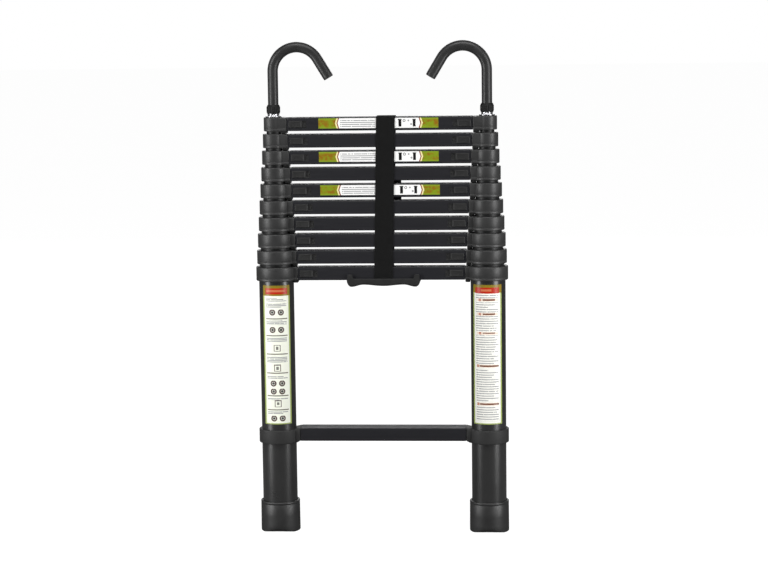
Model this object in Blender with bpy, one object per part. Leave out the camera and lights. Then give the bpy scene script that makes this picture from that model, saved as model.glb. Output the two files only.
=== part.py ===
"""Telescoping ladder with eleven rungs and two clamp-on hooks, closed and strapped.

Ten sections slide inside each other. Section 1 is the outermost and stands on the feet; section 10
is the innermost and carries the hooks. Each section is two stiles, which are aluminium tubes with a
moulded collar round the top end, and a hollow rung that slips over a spigot on each collar. Inside
each rung end a sprung pin locks the next section when it is pulled out; its thumb plate shows in a
window in the rung's front.

Metres, +Z up. The origin is on the ground, midway between the stiles. The front of the ladder, with
the thumb plates, faces -Y. A piece on the right (+X) is the mirror image of the piece on the left.
"""

import math

import bmesh
import bpy
from mathutils import Matrix, Vector

MM = 0.001

# Layout of the closed ladder.
SECTIONS = 10
RUNG_SPACING = 305 * MM  # rung to rung once a section is pulled out and locked
STILE_SPACING = 397 * MM  # between the axes of the left and right stiles
FIRST_RUNG_MID = 186.5 * MM  # height of the lowest rung's middle above the ground
LEFT, RIGHT = -1, 1
SIDES = {"left": LEFT, "right": RIGHT}

# Gaps between pieces.
FIT = 0.3 * MM  # between pieces that are fixed to each other
RUN = 0.4 * MM  # between pieces that slide or turn on each other

# Hooks, and the sockets and nuts that clamp them in the top of the stiles.
HOOK_ROD_RADIUS = 9.7 * MM
HOOK_BEND_RADIUS = 44.7 * MM  # of the rod's centre line
HOOK_SHANK = 61.5 * MM  # from the nut up to the bend
HOOK_TIP = 41.5 * MM  # straight end beyond the bend
HOOK_TIP_ANGLE = math.radians(31)  # of the straight end from the vertical
HOOK_DEPTH_IN_SOCKET = 40 * MM
SOCKET_WALL = 1.7 * MM
SOCKET_DEPTH = 48 * MM
SOCKET_FLANGE_RADIUS = 15 * MM
SOCKET_FLANGE = 2.4 * MM
THREAD_SHOWING = 4 * MM  # between the flange and the nut
THREAD_RADIUS = 11.1 * MM
THREAD_IN_NUT = 11 * MM
NUT_RADIUS = 13 * MM
NUT_HEIGHT = 16.5 * MM

# Stile tubes. Each goes round the next with a gap for its guide bushes.
TUBE_WALL = 1.5 * MM
GUIDE_GAP = 0.65 * MM
TUBE_OVERLAP = 142 * MM  # of a tube below its lock hole, still inside the tube it came out of
TUBE_BOTTOM = 12 * MM  # height of the outermost tube's end above the ground

# Collars round the tops of the tubes.
COLLAR_WALL = 5 * MM
COLLAR_HEIGHT = 26 * MM
COLLAR_GAP = 5 * MM  # between the collars of the closed ladder
ARM_REACH = 4.5 * MM  # of the lowest collar's arm beyond the round part
ARM_REACH_STEP = 0.35 * MM  # more on each section above
SPIGOT_LENGTH = 48 * MM
LUG_WIDTH = 20 * MM
LUG_INSET = 0.5 * MM  # of the lug's end from the arm's
FIRST_COLLAR_DROP = 3 * MM  # of the lowest pair of collars below their rung's middle

# Rungs.
RUNG_HEIGHT = 24.6 * MM
RUNG_DEPTH = 33.5 * MM
FIRST_RUNG_DEPTH = 40 * MM
RUNG_WALL = 1.6 * MM
RUNG_CORNER = 2 * MM
WINDOW_INSET = 3 * MM  # of the thumb plate's window from the rung's end
WINDOW_HEIGHT = 13.4 * MM

# Release slides: thumb plate, stem and locking pin in one piece.
SLIDE_TRAVEL = 8 * MM
PLATE_LENGTH = 25 * MM
PLATE_PROUD = 1.5 * MM  # of the rung's front
STEM_LENGTH = 10 * MM
STEM_INSET = 2 * MM  # from the plate's outer end
STEM_HEIGHT = 9 * MM
PIN_RADIUS = 4 * MM

# Rubber feet.
FOOT_WALL = 4.2 * MM
FOOT_HEIGHT = 58.5 * MM
SOLE_FLAT = 20 * MM  # from the middle of the sole to where it starts to curve up
SOLE_RISE = 8 * MM  # at the front and back of the foot

# Carry handle under the lowest rung of the stack.
HANDLE_OFFSET = 4 * MM  # of the handle and the strap's ends from the ladder's middle
HANDLE_PRONG_X = 60 * MM  # from the handle's middle to the lowest point of each end
HANDLE_END_X = 68.5 * MM
HANDLE_VALLEY_X = 38 * MM
HANDLE_MIDDLE_DROP = 11 * MM
HANDLE_VALLEY_DROP = 8.5 * MM
HANDLE_PRONG_DROP = 12.5 * MM
LIP_WALL = 2.4 * MM
LIP_RISE = 3 * MM
EAR_RISE = 11 * MM
EAR_LENGTH = 11 * MM
STRAP_SLOT_DEPTH = 7.5 * MM

# Strap, an upside-down U over the stack.
STRAP_WIDTH = 35 * MM
STRAP_THICKNESS = 1.6 * MM
STRAP_TOP_OFFSET = 11.4 * MM  # of the strap's top from the ladder's middle
STRAP_TUCK = 6 * MM  # of its ends into the handle's slots
STRAP_SLACK = 1 * MM  # of room beside it in the slots

# Roundness of the turned pieces.
TUBE_FACETS = 24
SMALL_FACETS = 16
PIN_FACETS = 12
BEND_STEPS = 12
CORNER_STEPS = 3

# Sizes that follow from those above.
STACK_PITCH = COLLAR_HEIGHT + COLLAR_GAP
STRAP_BEND = RUNG_CORNER + FIT
SECTION_TRAVEL = RUNG_SPACING - STACK_PITCH
SOCKET_BORE = HOOK_ROD_RADIUS + RUN
SOCKET_RADIUS = SOCKET_BORE + SOCKET_WALL
TOP_TUBE_RADIUS = SOCKET_RADIUS + FIT + TUBE_WALL
SECTION_1_MID = FIRST_RUNG_MID + RUNG_SPACING
WINDOW_LENGTH = PLATE_LENGTH + SLIDE_TRAVEL + 2 * RUN
SPIGOT_HALF_DEPTH = RUNG_DEPTH / 2 - RUNG_WALL - FIT
SPIGOT_HALF_HEIGHT = RUNG_HEIGHT / 2 - RUNG_WALL - FIT
TROUGH = STRAP_THICKNESS + FIT + RUN  # between a rung's face and the handle's lip
HANDLE_HALF_DEPTH = RUNG_DEPTH / 2 + TROUGH + LIP_WALL


def tube_radius(section):
    """Outer radius of a section's tubes: the innermost is set by the hook socket it holds."""
    return TOP_TUBE_RADIUS + (SECTIONS - section) * (TUBE_WALL + GUIDE_GAP)


def arm_end(section):
    """Distance from the stile's axis to the end of the collar's arm, where the rung starts."""
    return tube_radius(section) + COLLAR_WALL + ARM_REACH + ARM_REACH_STEP * (section - 1)


def plate_start(section):
    """Distance from the stile's axis to the outer end of the thumb plate."""
    return arm_end(section) + WINDOW_INSET + RUN


# Materials ------------------------------------------------------------------------------------


def finish(name, colour, roughness, metallic=0.0):
    """A plain material with a colour, a roughness and a metallic value."""
    made = bpy.data.materials.new(name)
    made.use_nodes = True
    shader = made.node_tree.nodes["Principled BSDF"]
    shader.inputs["Base Color"].default_value = (*colour, 1)
    shader.inputs["Roughness"].default_value = roughness
    shader.inputs["Metallic"].default_value = metallic
    return made


# Shapes: each returns a new object at the origin, for use as a piece or as a tool ------------------


def shape(name, vertices, faces):
    """An object with this mesh, its faces turned outwards."""
    mesh = bpy.data.meshes.new(name)
    mesh.from_pydata([tuple(v) for v in vertices], [], faces)
    work = bmesh.new()
    work.from_mesh(mesh)
    bmesh.ops.recalc_face_normals(work, faces=work.faces)
    work.to_mesh(mesh)
    work.free()
    made = bpy.data.objects.new(name, mesh)
    bpy.context.scene.collection.objects.link(made)
    return made


def block(x, y, z):
    """A box between a low and a high value along each axis."""
    corners = [(a, b, c) for a in x for b in y for c in z]
    faces = [(0, 1, 3, 2), (4, 6, 7, 5), (0, 4, 5, 1), (2, 3, 7, 6), (0, 2, 6, 4), (1, 5, 7, 3)]
    return shape("block", corners, faces)


def turned(profile, facets):
    """A solid turned about Z from a closed profile of (radius, height) points, a flat facing +X.

    A profile that starts and ends on the axis makes a solid body, any other makes a ring.
    """
    rings, vertices = [], []
    for radius, height in profile:
        first = len(vertices)
        count = facets if radius > 0 else 1
        for i in range(count):
            angle = 2 * math.pi * (i + 0.5) / facets
            vertices.append((radius * math.cos(angle), radius * math.sin(angle), height))
        rings.append([first + i % count for i in range(facets)])
    faces = []
    for i, ring in enumerate(rings):
        above = rings[(i + 1) % len(rings)]
        for a in range(facets):
            b = (a + 1) % facets
            corners = dict.fromkeys((ring[a], ring[b], above[b], above[a]))
            if len(corners) > 2:
                faces.append(tuple(corners))
    return shape("turned", vertices, faces)


def rod_along_x(radius, x):
    """A round rod on the X axis between two values of x."""
    made = turned([(0, x[0]), (radius, x[0]), (radius, x[1]), (0, x[1])], PIN_FACETS)
    made.data.transform(Matrix.Rotation(math.radians(90), 4, "Y"))
    return made


def extruded(outline, axis, span):
    """A prism: an outline of 2-D points carried along X or Y between the two values of span."""
    place = {"X": lambda a, b, c: (c, a, b), "Y": lambda a, b, c: (a, c, b)}[axis]
    count = len(outline)
    vertices = [place(a, b, c) for c in span for a, b in outline]
    faces = [tuple(range(count)), tuple(range(count, 2 * count))]
    faces += [(i, (i + 1) % count, count + (i + 1) % count, count + i) for i in range(count)]
    return shape("extruded", vertices, faces)


def rounded_outline(width, height, corner):
    """A rectangle round the origin with its corners rounded."""
    points = []
    for quarter, (sx, sy) in enumerate(((1, 1), (-1, 1), (-1, -1), (1, -1))):
        for step in range(CORNER_STEPS):
            angle = math.radians(90) * (quarter + step / (CORNER_STEPS - 1))
            points.append(
                (
                    sx * (width / 2 - corner) + corner * math.cos(angle),
                    sy * (height / 2 - corner) + corner * math.sin(angle),
                )
            )
    return points


def boolean(body, tool, operation):
    """Joins the tool to the body or cuts it away, and uses the tool up."""
    step = body.modifiers.new("Boolean", "BOOLEAN")
    step.operation, step.solver, step.object = operation, "EXACT", tool
    graph = bpy.context.evaluated_depsgraph_get()
    body.data = bpy.data.meshes.new_from_object(body.evaluated_get(graph))
    body.modifiers.clear()
    bpy.data.objects.remove(tool)


def join(body, tool):
    boolean(body, tool, "UNION")


def cut(body, tool):
    boolean(body, tool, "DIFFERENCE")


def piece(name, made, material, parent, at, side=LEFT):
    """Names a shape, gives it its material and places it. A piece on the right is mirrored."""
    made.name = name
    made.data.name = name
    if side == RIGHT:
        made.data.transform(Matrix.Scale(-1, 4, Vector((1, 0, 0))))
        made.data.flip_normals()
    made.data.materials.clear()
    made.data.materials.append(material)
    made.data.shade_smooth()
    made.data.set_sharp_from_angle(angle=math.radians(35))
    made.parent = parent
    made.location = at
    return made


# Stiles. X points from the stile's axis to the middle of the ladder, and z = 0 is the rung's middle --


def add_arm(body, end, depth, z):
    """The block that leads from the collar to the rung, with the spigot that fills the rung's end."""
    half = RUNG_HEIGHT / 2
    join(body, block((0, end), (-depth / 2, depth / 2), (z - half, z + half)))
    spigot_depth = depth / 2 - RUNG_WALL - FIT
    spigot_z = (z - SPIGOT_HALF_HEIGHT, z + SPIGOT_HALF_HEIGHT)
    spigot_x = (end - ARM_REACH / 2, end + SPIGOT_LENGTH)
    join(body, block(spigot_x, (-spigot_depth, spigot_depth), spigot_z))


def add_lug(body, section):
    """The foot under the arm that keeps the rungs of the closed ladder a finger's safety apart."""
    tallest = max(COLLAR_HEIGHT, RUNG_HEIGHT) / 2
    bottom = -(STACK_PITCH - tallest - RUN)
    x = (tube_radius(section) - TUBE_WALL, arm_end(section) - LUG_INSET)
    join(body, block(x, (-LUG_WIDTH / 2, LUG_WIDTH / 2), (bottom, 0)))


def cut_release(body, section):
    """The pin's hole through tube and collar, and the channel that the stem slides in."""
    start = plate_start(section) + STEM_INSET - RUN
    stop = arm_end(section) + SPIGOT_LENGTH + STEM_LENGTH
    half = STEM_HEIGHT / 2 + RUN
    cut(body, block((start, stop), (-RUNG_DEPTH, PIN_RADIUS + 2 * RUN), (-half, half)))
    cut(body, rod_along_x(PIN_RADIUS + RUN, (0, start + STEM_LENGTH / 2)))


def add_fixed_plate(body, section):
    """The plate in the top rung's window, which is moulded on because nothing is locked there."""
    x = (plate_start(section), plate_start(section) + PLATE_LENGTH)
    y = (-RUNG_DEPTH / 2 - PLATE_PROUD, 0)
    half = WINDOW_HEIGHT / 2 - RUN
    join(body, block(x, y, (-half, half)))


def stile(section):
    """A tube with its collar; the lowest also has the collar of the first rung."""
    outer = tube_radius(section)
    top = COLLAR_HEIGHT / 2
    bottom = -RUNG_SPACING - TUBE_OVERLAP
    if section == 1:
        bottom = TUBE_BOTTOM - SECTION_1_MID
    profile = [(0, bottom), (outer, bottom), (outer, -top)]
    profile += [(outer + COLLAR_WALL, -top), (outer + COLLAR_WALL, top), (0, top)]
    body = turned(profile, TUBE_FACETS)
    add_arm(body, arm_end(section), RUNG_DEPTH, 0)
    add_lug(body, section)
    if section == 1:
        middle = -RUNG_SPACING - FIRST_COLLAR_DROP
        low, high, wide = middle - top, middle + top, outer + COLLAR_WALL
        join(body, turned([(0, low), (wide, low), (wide, high), (0, high)], TUBE_FACETS))
        add_arm(body, arm_end(section), FIRST_RUNG_DEPTH, -RUNG_SPACING)
    bore = outer - TUBE_WALL
    low, high = bottom - TUBE_WALL, top + TUBE_WALL
    cut(body, turned([(0, low), (bore, low), (bore, high), (0, high)], TUBE_FACETS))
    if section < SECTIONS:
        cut_release(body, section)
    else:
        add_fixed_plate(body, section)
    if section > 1:
        lock_hole = rod_along_x(PIN_RADIUS + RUN, (0, outer + COLLAR_WALL))
        lock_hole.data.transform(Matrix.Translation((0, 0, -RUNG_SPACING)))
        cut(body, lock_hole)
    return body


def release_slide(section):
    """Thumb plate, stem and pin. The pin's tip bears on the tube of the next section."""
    start = plate_start(section)
    half = WINDOW_HEIGHT / 2 - RUN
    plate_y = (-RUNG_DEPTH / 2 - PLATE_PROUD, -SPIGOT_HALF_DEPTH - RUN)
    body = block((start, start + PLATE_LENGTH), plate_y, (-half, half))
    stem_x = (start + STEM_INSET, start + STEM_INSET + STEM_LENGTH)
    stem_y = (plate_y[0] + PLATE_PROUD, PIN_RADIUS + RUN)
    join(body, block(stem_x, stem_y, (-STEM_HEIGHT / 2, STEM_HEIGHT / 2)))
    tip = tube_radius(section + 1) + RUN
    join(body, rod_along_x(PIN_RADIUS, (tip, stem_x[0] + STEM_LENGTH / 2)))
    return body


# Rungs ----------------------------------------------------------------------------------------


def rung(section, depth, has_windows):
    """A hollow extrusion between the arms of its section, centred on the origin."""
    half = STILE_SPACING / 2 - arm_end(section) - FIT
    body = extruded(rounded_outline(depth, RUNG_HEIGHT, RUNG_CORNER), "X", (-half, half))
    inner_y, inner_z = depth / 2 - RUNG_WALL, RUNG_HEIGHT / 2 - RUNG_WALL
    past = half + RUNG_WALL
    cut(body, block((-past, past), (-inner_y, inner_y), (-inner_z, inner_z)))
    if has_windows:
        start = half - WINDOW_INSET + FIT
        for side in SIDES.values():
            x = sorted((side * start, side * (start - WINDOW_LENGTH)))
            z = (-WINDOW_HEIGHT / 2, WINDOW_HEIGHT / 2)
            cut(body, block(x, (-depth, -depth / 2 + 2 * RUNG_WALL), z))
    return body


# Hooks ----------------------------------------------------------------------------------------


def hook():
    """A round rod that goes up from the socket, over in a half turn and more, and down to its tip.

    z = 0 is the top of the stile's collar.
    """
    bend_z = SOCKET_FLANGE + THREAD_SHOWING + NUT_HEIGHT + HOOK_SHANK
    sweep = math.pi - HOOK_TIP_ANGLE
    stations = [(0.0, -HOOK_DEPTH_IN_SOCKET, 0.0)]
    for step in range(BEND_STEPS + 1):
        turn = sweep * step / BEND_STEPS
        x = HOOK_BEND_RADIUS * (1 - math.cos(turn))
        stations.append((x, bend_z + HOOK_BEND_RADIUS * math.sin(turn), turn))
    x, z, turn = stations[-1]
    stations.append((x + HOOK_TIP * math.sin(turn), z + HOOK_TIP * math.cos(turn), turn))
    vertices, faces = [], []
    for x, z, turn in stations:
        for i in range(SMALL_FACETS):
            angle = 2 * math.pi * i / SMALL_FACETS
            across = HOOK_ROD_RADIUS * math.cos(angle)
            y = HOOK_ROD_RADIUS * math.sin(angle)
            vertices.append((x + across * math.cos(turn), y, z - across * math.sin(turn)))
    for ring in range(len(stations) - 1):
        for i in range(SMALL_FACETS):
            a, b = ring * SMALL_FACETS + i, ring * SMALL_FACETS + (i + 1) % SMALL_FACETS
            faces.append((a, b, b + SMALL_FACETS, a + SMALL_FACETS))
    faces.append(tuple(range(SMALL_FACETS)))
    faces.append(tuple(range(len(vertices) - SMALL_FACETS, len(vertices))))
    return shape("hook", vertices, faces)


def hook_socket():
    """A threaded sleeve with a flange that sits on the collar. z = 0 is the collar's top."""
    flange = (FIT, SOCKET_FLANGE)
    thread_top = SOCKET_FLANGE + THREAD_SHOWING + THREAD_IN_NUT
    profile = [
        (SOCKET_BORE, -SOCKET_DEPTH),
        (SOCKET_RADIUS, -SOCKET_DEPTH),
        (SOCKET_RADIUS, flange[0]),
        (SOCKET_FLANGE_RADIUS, flange[0]),
        (SOCKET_FLANGE_RADIUS, flange[1]),
        (THREAD_RADIUS, flange[1]),
        (THREAD_RADIUS, thread_top),
        (SOCKET_BORE, thread_top),
    ]
    return turned(profile, SMALL_FACETS)


def hook_nut():
    """The nut that squeezes the socket onto the hook. z = 0 is its lower face."""
    clear = 1 / math.cos(math.pi / SMALL_FACETS)  # a flat of the bore clears the round it turns on
    thread_bore = (THREAD_RADIUS + RUN / 2) * clear
    rod_bore = (HOOK_ROD_RADIUS + RUN / 2) * clear
    thread_top = THREAD_IN_NUT + RUN
    profile = [
        (thread_bore, 0),
        (NUT_RADIUS, 0),
        (NUT_RADIUS, NUT_HEIGHT),
        (rod_bore, NUT_HEIGHT),
        (rod_bore, thread_top),
        (thread_bore, thread_top),
    ]
    return turned(profile, SMALL_FACETS)


# Feet, handle and strap ----------------------------------------------------------------------------


def foot():
    """A rubber cup on the end of the outermost tube, its sole curved up at the front and back."""
    inner = tube_radius(1) + FIT
    outer = inner + FOOT_WALL
    floor = TUBE_BOTTOM - FIT
    profile = [(0, 0), (outer, 0), (outer, FOOT_HEIGHT), (inner, FOOT_HEIGHT), (inner, floor)]
    body = turned(profile + [(0, floor)], TUBE_FACETS)
    curve = outer - SOLE_FLAT
    for front in (-1, 1):
        outline = [(front * (outer + curve), -SOLE_RISE), (front * SOLE_FLAT, -SOLE_RISE)]
        for step in range(CORNER_STEPS + 2):
            share = step / (CORNER_STEPS + 1)
            outline.append((front * (SOLE_FLAT + share * curve), SOLE_RISE * share**2))
        outline.append((front * (outer + curve), SOLE_RISE))
        cut(body, extruded(outline, "X", (-2 * outer, 2 * outer)))
    return body


def handle_drop(x):
    """How far the handle's grip hangs below the rung, x from its middle: a wave of cosines."""
    x = abs(x)
    if x < HANDLE_VALLEY_X:
        share = (1 + math.cos(math.pi * x / HANDLE_VALLEY_X)) / 2
        return HANDLE_VALLEY_DROP + share * (HANDLE_MIDDLE_DROP - HANDLE_VALLEY_DROP)
    along = (x - HANDLE_VALLEY_X) / (HANDLE_PRONG_X - HANDLE_VALLEY_X)
    share = (1 - math.cos(math.pi * along)) / 2
    return HANDLE_VALLEY_DROP + share * (HANDLE_PRONG_DROP - HANDLE_VALLEY_DROP)


def carry_handle():
    """A grip under the rung with lips in front and behind that hold the strap. z = 0 is the rung's underside."""
    steps, end_steps = 16, 4
    outline = []
    for step in range(steps + 1):
        x = HANDLE_PRONG_X * (2 * step / steps - 1)
        outline.append((x, -handle_drop(x)))
    for step in range(1, end_steps + 1):
        turn = math.radians(90) * step / end_steps
        x = HANDLE_PRONG_X + (HANDLE_END_X - HANDLE_PRONG_X) * math.sin(turn)
        outline.append((x, min(-HANDLE_PRONG_DROP * math.cos(turn), -FIT)))
    outline += [(-x, z) for x, z in reversed(outline[-end_steps:])]
    depth = HANDLE_HALF_DEPTH
    body = extruded(outline, "Y", (-depth, depth))
    root = -HANDLE_VALLEY_DROP / 2
    end, ear = HANDLE_END_X - LIP_WALL, HANDLE_END_X - EAR_LENGTH
    slot_half = STRAP_WIDTH / 2 + STRAP_SLACK
    for front in (-1, 1):
        lip_y = sorted((front * (depth - FIT), front * (depth - LIP_WALL)))
        join(body, block((-end, end), lip_y, (root, LIP_RISE)))
        for side in SIDES.values():
            ear_x = sorted((side * (end - LIP_WALL), side * ear))
            ear_y = sorted((front * (depth - 2 * FIT), front * (RUNG_DEPTH / 2 + FIT)))
            join(body, block(ear_x, ear_y, (root, EAR_RISE)))
        slot_y = sorted((front * (depth - LIP_WALL), front * (RUNG_DEPTH / 2 - FIT)))
        cut(body, block((-slot_half, slot_half), slot_y, (-STRAP_SLOT_DEPTH, RUNG_HEIGHT)))
    return body


def strap(top_z, bottom_z):
    """A band up the front, over the top rung and down the back, leaning a little to one side."""
    inner = RUNG_DEPTH / 2 + FIT
    end_z, over = bottom_z - STRAP_TUCK, top_z + FIT
    line = [(-inner, end_z, -1.0, 0.0)]
    for front in (-1, 1):
        middle_y, middle_z = front * (inner - STRAP_BEND), over - STRAP_BEND
        for step in range(CORNER_STEPS + 1):
            share = step / CORNER_STEPS if front < 0 else 1 - step / CORNER_STEPS
            turn = math.radians(90) * share
            out_y, out_z = front * math.cos(turn), math.sin(turn)
            point = (middle_y + STRAP_BEND * out_y, middle_z + STRAP_BEND * out_z)
            line.append((*point, out_y, out_z))
    line.append((inner, end_z, 1.0, 0.0))
    vertices, faces = [], []
    for y, z, out_y, out_z in line:
        share = (z - end_z) / (over - end_z)
        middle = HANDLE_OFFSET + share * (STRAP_TOP_OFFSET - HANDLE_OFFSET)
        for x, thick in ((-1, 0), (1, 0), (1, STRAP_THICKNESS), (-1, STRAP_THICKNESS)):
            place = (middle + x * STRAP_WIDTH / 2, y + thick * out_y, z + thick * out_z)
            vertices.append(place)
    for ring in range(len(line) - 1):
        for i in range(4):
            a, b = 4 * ring + i, 4 * ring + (i + 1) % 4
            faces.append((a, b, b + 4, a + 4))
    faces += [(0, 1, 2, 3), tuple(range(len(vertices) - 4, len(vertices)))]
    return shape("strap", vertices, faces)


# Assembly -------------------------------------------------------------------------------------


def empty(name, at, parent=None):
    """The frame that a section's pieces hang on, at the middle of its rung."""
    made = bpy.data.objects.new(name, None)
    bpy.context.scene.collection.objects.link(made)
    made.parent = parent
    made.location = at
    return made


def build_section(section, parent, materials):
    """One section's stiles, rung and release slides. Its rung is one higher in number."""
    number = section + 1
    windowed = rung(section, RUNG_DEPTH, True)
    piece(f"rung_{number:02d}", windowed, materials["rung"], parent, (0, 0, 0))
    for word, side in SIDES.items():
        at = (side * STILE_SPACING / 2, 0, 0)
        made = stile(section)
        piece(f"stile_{section:02d}_{word}", made, materials["stile"], parent, at, side)
        if section < SECTIONS:
            name = f"release_slide_{number:02d}_{word}"
            piece(name, release_slide(section), materials["slide"], parent, at, side)


def build_base(parent, materials):
    """The first rung, the feet and the carry handle, all on section 1."""
    first = rung(1, FIRST_RUNG_DEPTH, False)
    piece("rung_01", first, materials["rung"], parent, (0, 0, -RUNG_SPACING))
    for word, side in SIDES.items():
        at = (side * STILE_SPACING / 2, 0, -SECTION_1_MID)
        piece(f"foot_{word}", foot(), materials["rubber"], parent, at, side)
    at = (HANDLE_OFFSET, 0, -RUNG_HEIGHT / 2)
    piece("carry_handle", carry_handle(), materials["moulding"], parent, at)


def build_top(parent, materials):
    """The hook fittings and the strap, all on section 10."""
    collar_top = COLLAR_HEIGHT / 2
    for word, side in SIDES.items():
        at = Vector((side * STILE_SPACING / 2, 0, collar_top))
        piece(f"hook_socket_{word}", hook_socket(), materials["socket"], parent, at, side)
        piece(f"hook_{word}", hook(), materials["hook"], parent, at, side)
        nut_at = at + Vector((0, 0, SOCKET_FLANGE + THREAD_SHOWING))
        piece(f"hook_nut_{word}", hook_nut(), materials["moulding"], parent, nut_at, side)
    stack = (SECTIONS - 1) * STACK_PITCH
    band = strap(RUNG_HEIGHT / 2, -stack - RUNG_HEIGHT / 2)
    piece("strap", band, materials["webbing"], parent, (0, 0, 0))


def main():
    for old in list(bpy.data.objects):
        bpy.data.objects.remove(old)
    materials = {
        "stile": finish("coated_aluminium", (0.035, 0.036, 0.038), 0.42, 0.35),
        "rung": finish("black_anodised_rung", (0.016, 0.016, 0.018), 0.45, 0.3),
        "slide": finish("slide_nylon", (0.03, 0.03, 0.032), 0.5),
        "rubber": finish("foot_rubber", (0.03, 0.03, 0.031), 0.7),
        "moulding": finish("black_nylon", (0.018, 0.018, 0.019), 0.5),
        "hook": finish("coated_steel", (0.03, 0.03, 0.031), 0.4),
        "socket": finish("zinc_plate", (0.75, 0.75, 0.76), 0.25, 1.0),
        "webbing": finish("polyester_webbing", (0.01, 0.01, 0.01), 0.9),
    }
    frame = empty("section_01", (0, 0, SECTION_1_MID))
    build_base(frame, materials)
    build_section(1, frame, materials)
    for section in range(2, SECTIONS + 1):
        frame = empty(f"section_{section:02d}", (0, 0, STACK_PITCH), frame)
        build_section(section, frame, materials)
    build_top(frame, materials)


main()
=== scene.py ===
# %% [markdown]
# # A telescoping ladder, closed and strapped
# Ten pairs of aluminium tubes slide in each other, each with a moulded nylon collar on top that
# holds a hollow rung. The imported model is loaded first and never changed: it fixes where everything
# is. Every visible piece is then made again with more detail and told which moving body it rides on.

import math

import bmesh
import bpy
import numpy as np
from mathutils import Matrix, Vector


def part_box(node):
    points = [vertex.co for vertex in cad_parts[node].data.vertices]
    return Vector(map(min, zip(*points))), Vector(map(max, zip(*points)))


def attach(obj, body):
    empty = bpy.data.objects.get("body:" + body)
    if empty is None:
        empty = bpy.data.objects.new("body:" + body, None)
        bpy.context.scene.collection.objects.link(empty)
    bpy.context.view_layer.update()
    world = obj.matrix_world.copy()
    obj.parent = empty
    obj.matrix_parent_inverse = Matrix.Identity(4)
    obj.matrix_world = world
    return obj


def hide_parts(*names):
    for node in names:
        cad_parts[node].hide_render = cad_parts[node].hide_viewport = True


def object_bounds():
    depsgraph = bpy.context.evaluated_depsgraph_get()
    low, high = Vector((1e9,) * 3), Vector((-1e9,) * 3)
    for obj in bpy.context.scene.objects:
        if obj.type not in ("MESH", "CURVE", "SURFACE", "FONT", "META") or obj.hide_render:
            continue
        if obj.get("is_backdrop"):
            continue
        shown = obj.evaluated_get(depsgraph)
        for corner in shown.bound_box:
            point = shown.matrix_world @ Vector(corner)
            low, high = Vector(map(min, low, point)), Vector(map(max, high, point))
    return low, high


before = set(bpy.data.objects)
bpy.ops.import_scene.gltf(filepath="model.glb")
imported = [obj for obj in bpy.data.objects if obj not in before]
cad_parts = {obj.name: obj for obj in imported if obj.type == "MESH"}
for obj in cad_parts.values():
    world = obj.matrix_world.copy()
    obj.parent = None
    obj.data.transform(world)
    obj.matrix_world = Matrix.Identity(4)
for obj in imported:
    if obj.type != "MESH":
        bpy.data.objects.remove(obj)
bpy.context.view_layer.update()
MM = 0.001

# %% [markdown]
# ## Surfaces from grids
# A turned or moulded piece is a grid of points: rows go along its profile and columns go round it.
# Working out the whole grid with numpy is quick, and the same function then serves tubes, collars,
# nuts and feet. A seam or a pole is a line of doubled points, so these are merged, and then the
# normals are set to point outwards.

# %% Grids to meshes
SIDES = {"left": -1, "right": 1}


def quads(rows, columns, first, wrap_rows=False, wrap_columns=True):
    """Faces between neighbours of a grid numbered from first, joined to itself where it wraps."""
    index = first + np.arange(rows * columns).reshape(rows, columns)
    if wrap_rows:
        index = np.vstack([index, index[:1]])
    if wrap_columns:
        index = np.hstack([index, index[:, :1]])
    return np.stack([index[:-1, :-1], index[:-1, 1:], index[1:, 1:], index[1:, :-1]], axis=-1)


def make(name, grids, material, body, stands_for=(), wall=0.0, inside=None, sharp=40):
    """One piece from grids: each is (points, settings), where settings may hold wraps, gaps and uv.

    gaps is True for the cells that are left out. wall is the thickness that an open sheet gets
    inwards, and inside is a point behind it.
    """
    points, faces, places, first = [], [], [], 0
    for grid, settings in grids:
        settings = dict(settings)
        gaps, uv = settings.pop("gaps", None), settings.pop("uv", None)
        cells = quads(*grid.shape[:2], first, **settings)
        faces.append(cells[~gaps] if gaps is not None else cells.reshape(-1, 4))
        points.append(grid.reshape(-1, 3))
        places.append(np.zeros((len(points[-1]), 2)) if uv is None else uv.reshape(-1, 2))
        first += len(points[-1])
    faces = np.concatenate([f.reshape(-1, 4) for f in faces])
    mesh = bpy.data.meshes.new(name)
    mesh.from_pydata(np.concatenate(points).tolist(), [], faces.tolist())
    layer = mesh.uv_layers.new(name="UVMap")
    layer.data.foreach_set("uv", np.concatenate(places)[faces.ravel()].ravel())
    work = bmesh.new()
    work.from_mesh(mesh)
    bmesh.ops.remove_doubles(work, verts=work.verts, dist=2e-6)
    bmesh.ops.dissolve_degenerate(work, edges=work.edges, dist=1e-7)
    bmesh.ops.recalc_face_normals(work, faces=work.faces)
    if wall:
        middle = Vector(inside if inside is not None else np.concatenate(points).mean(axis=0))
        outwards = sum(
            f.normal.dot(f.calc_center_median() - middle) * f.calc_area() for f in work.faces
        )
        if outwards < 0:
            bmesh.ops.reverse_faces(work, faces=work.faces)
    work.to_mesh(mesh)
    work.free()
    mesh.materials.append(material)
    mesh.shade_smooth()
    mesh.set_sharp_from_angle(angle=math.radians(sharp))
    if wall:
        used = np.zeros(len(mesh.loops), int)
        mesh.loops.foreach_get("edge_index", used)
        rims = mesh.attributes.get("sharp_edge")
        rims = rims or mesh.attributes.new("sharp_edge", "BOOLEAN", "EDGE")
        flags = np.zeros(len(mesh.edges), bool)
        rims.data.foreach_get("value", flags)
        rims.data.foreach_set("value", flags | (np.bincount(used, minlength=len(mesh.edges)) == 1))
    made = bpy.data.objects.new(name, mesh)
    bpy.context.scene.collection.objects.link(made)
    if wall:
        step = made.modifiers.new("wall", "SOLIDIFY")
        step.thickness, step.offset, step.use_even_offset = wall, -1, True
    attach(made, body)
    if stands_for:
        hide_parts(*stands_for)
    return made


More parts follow.
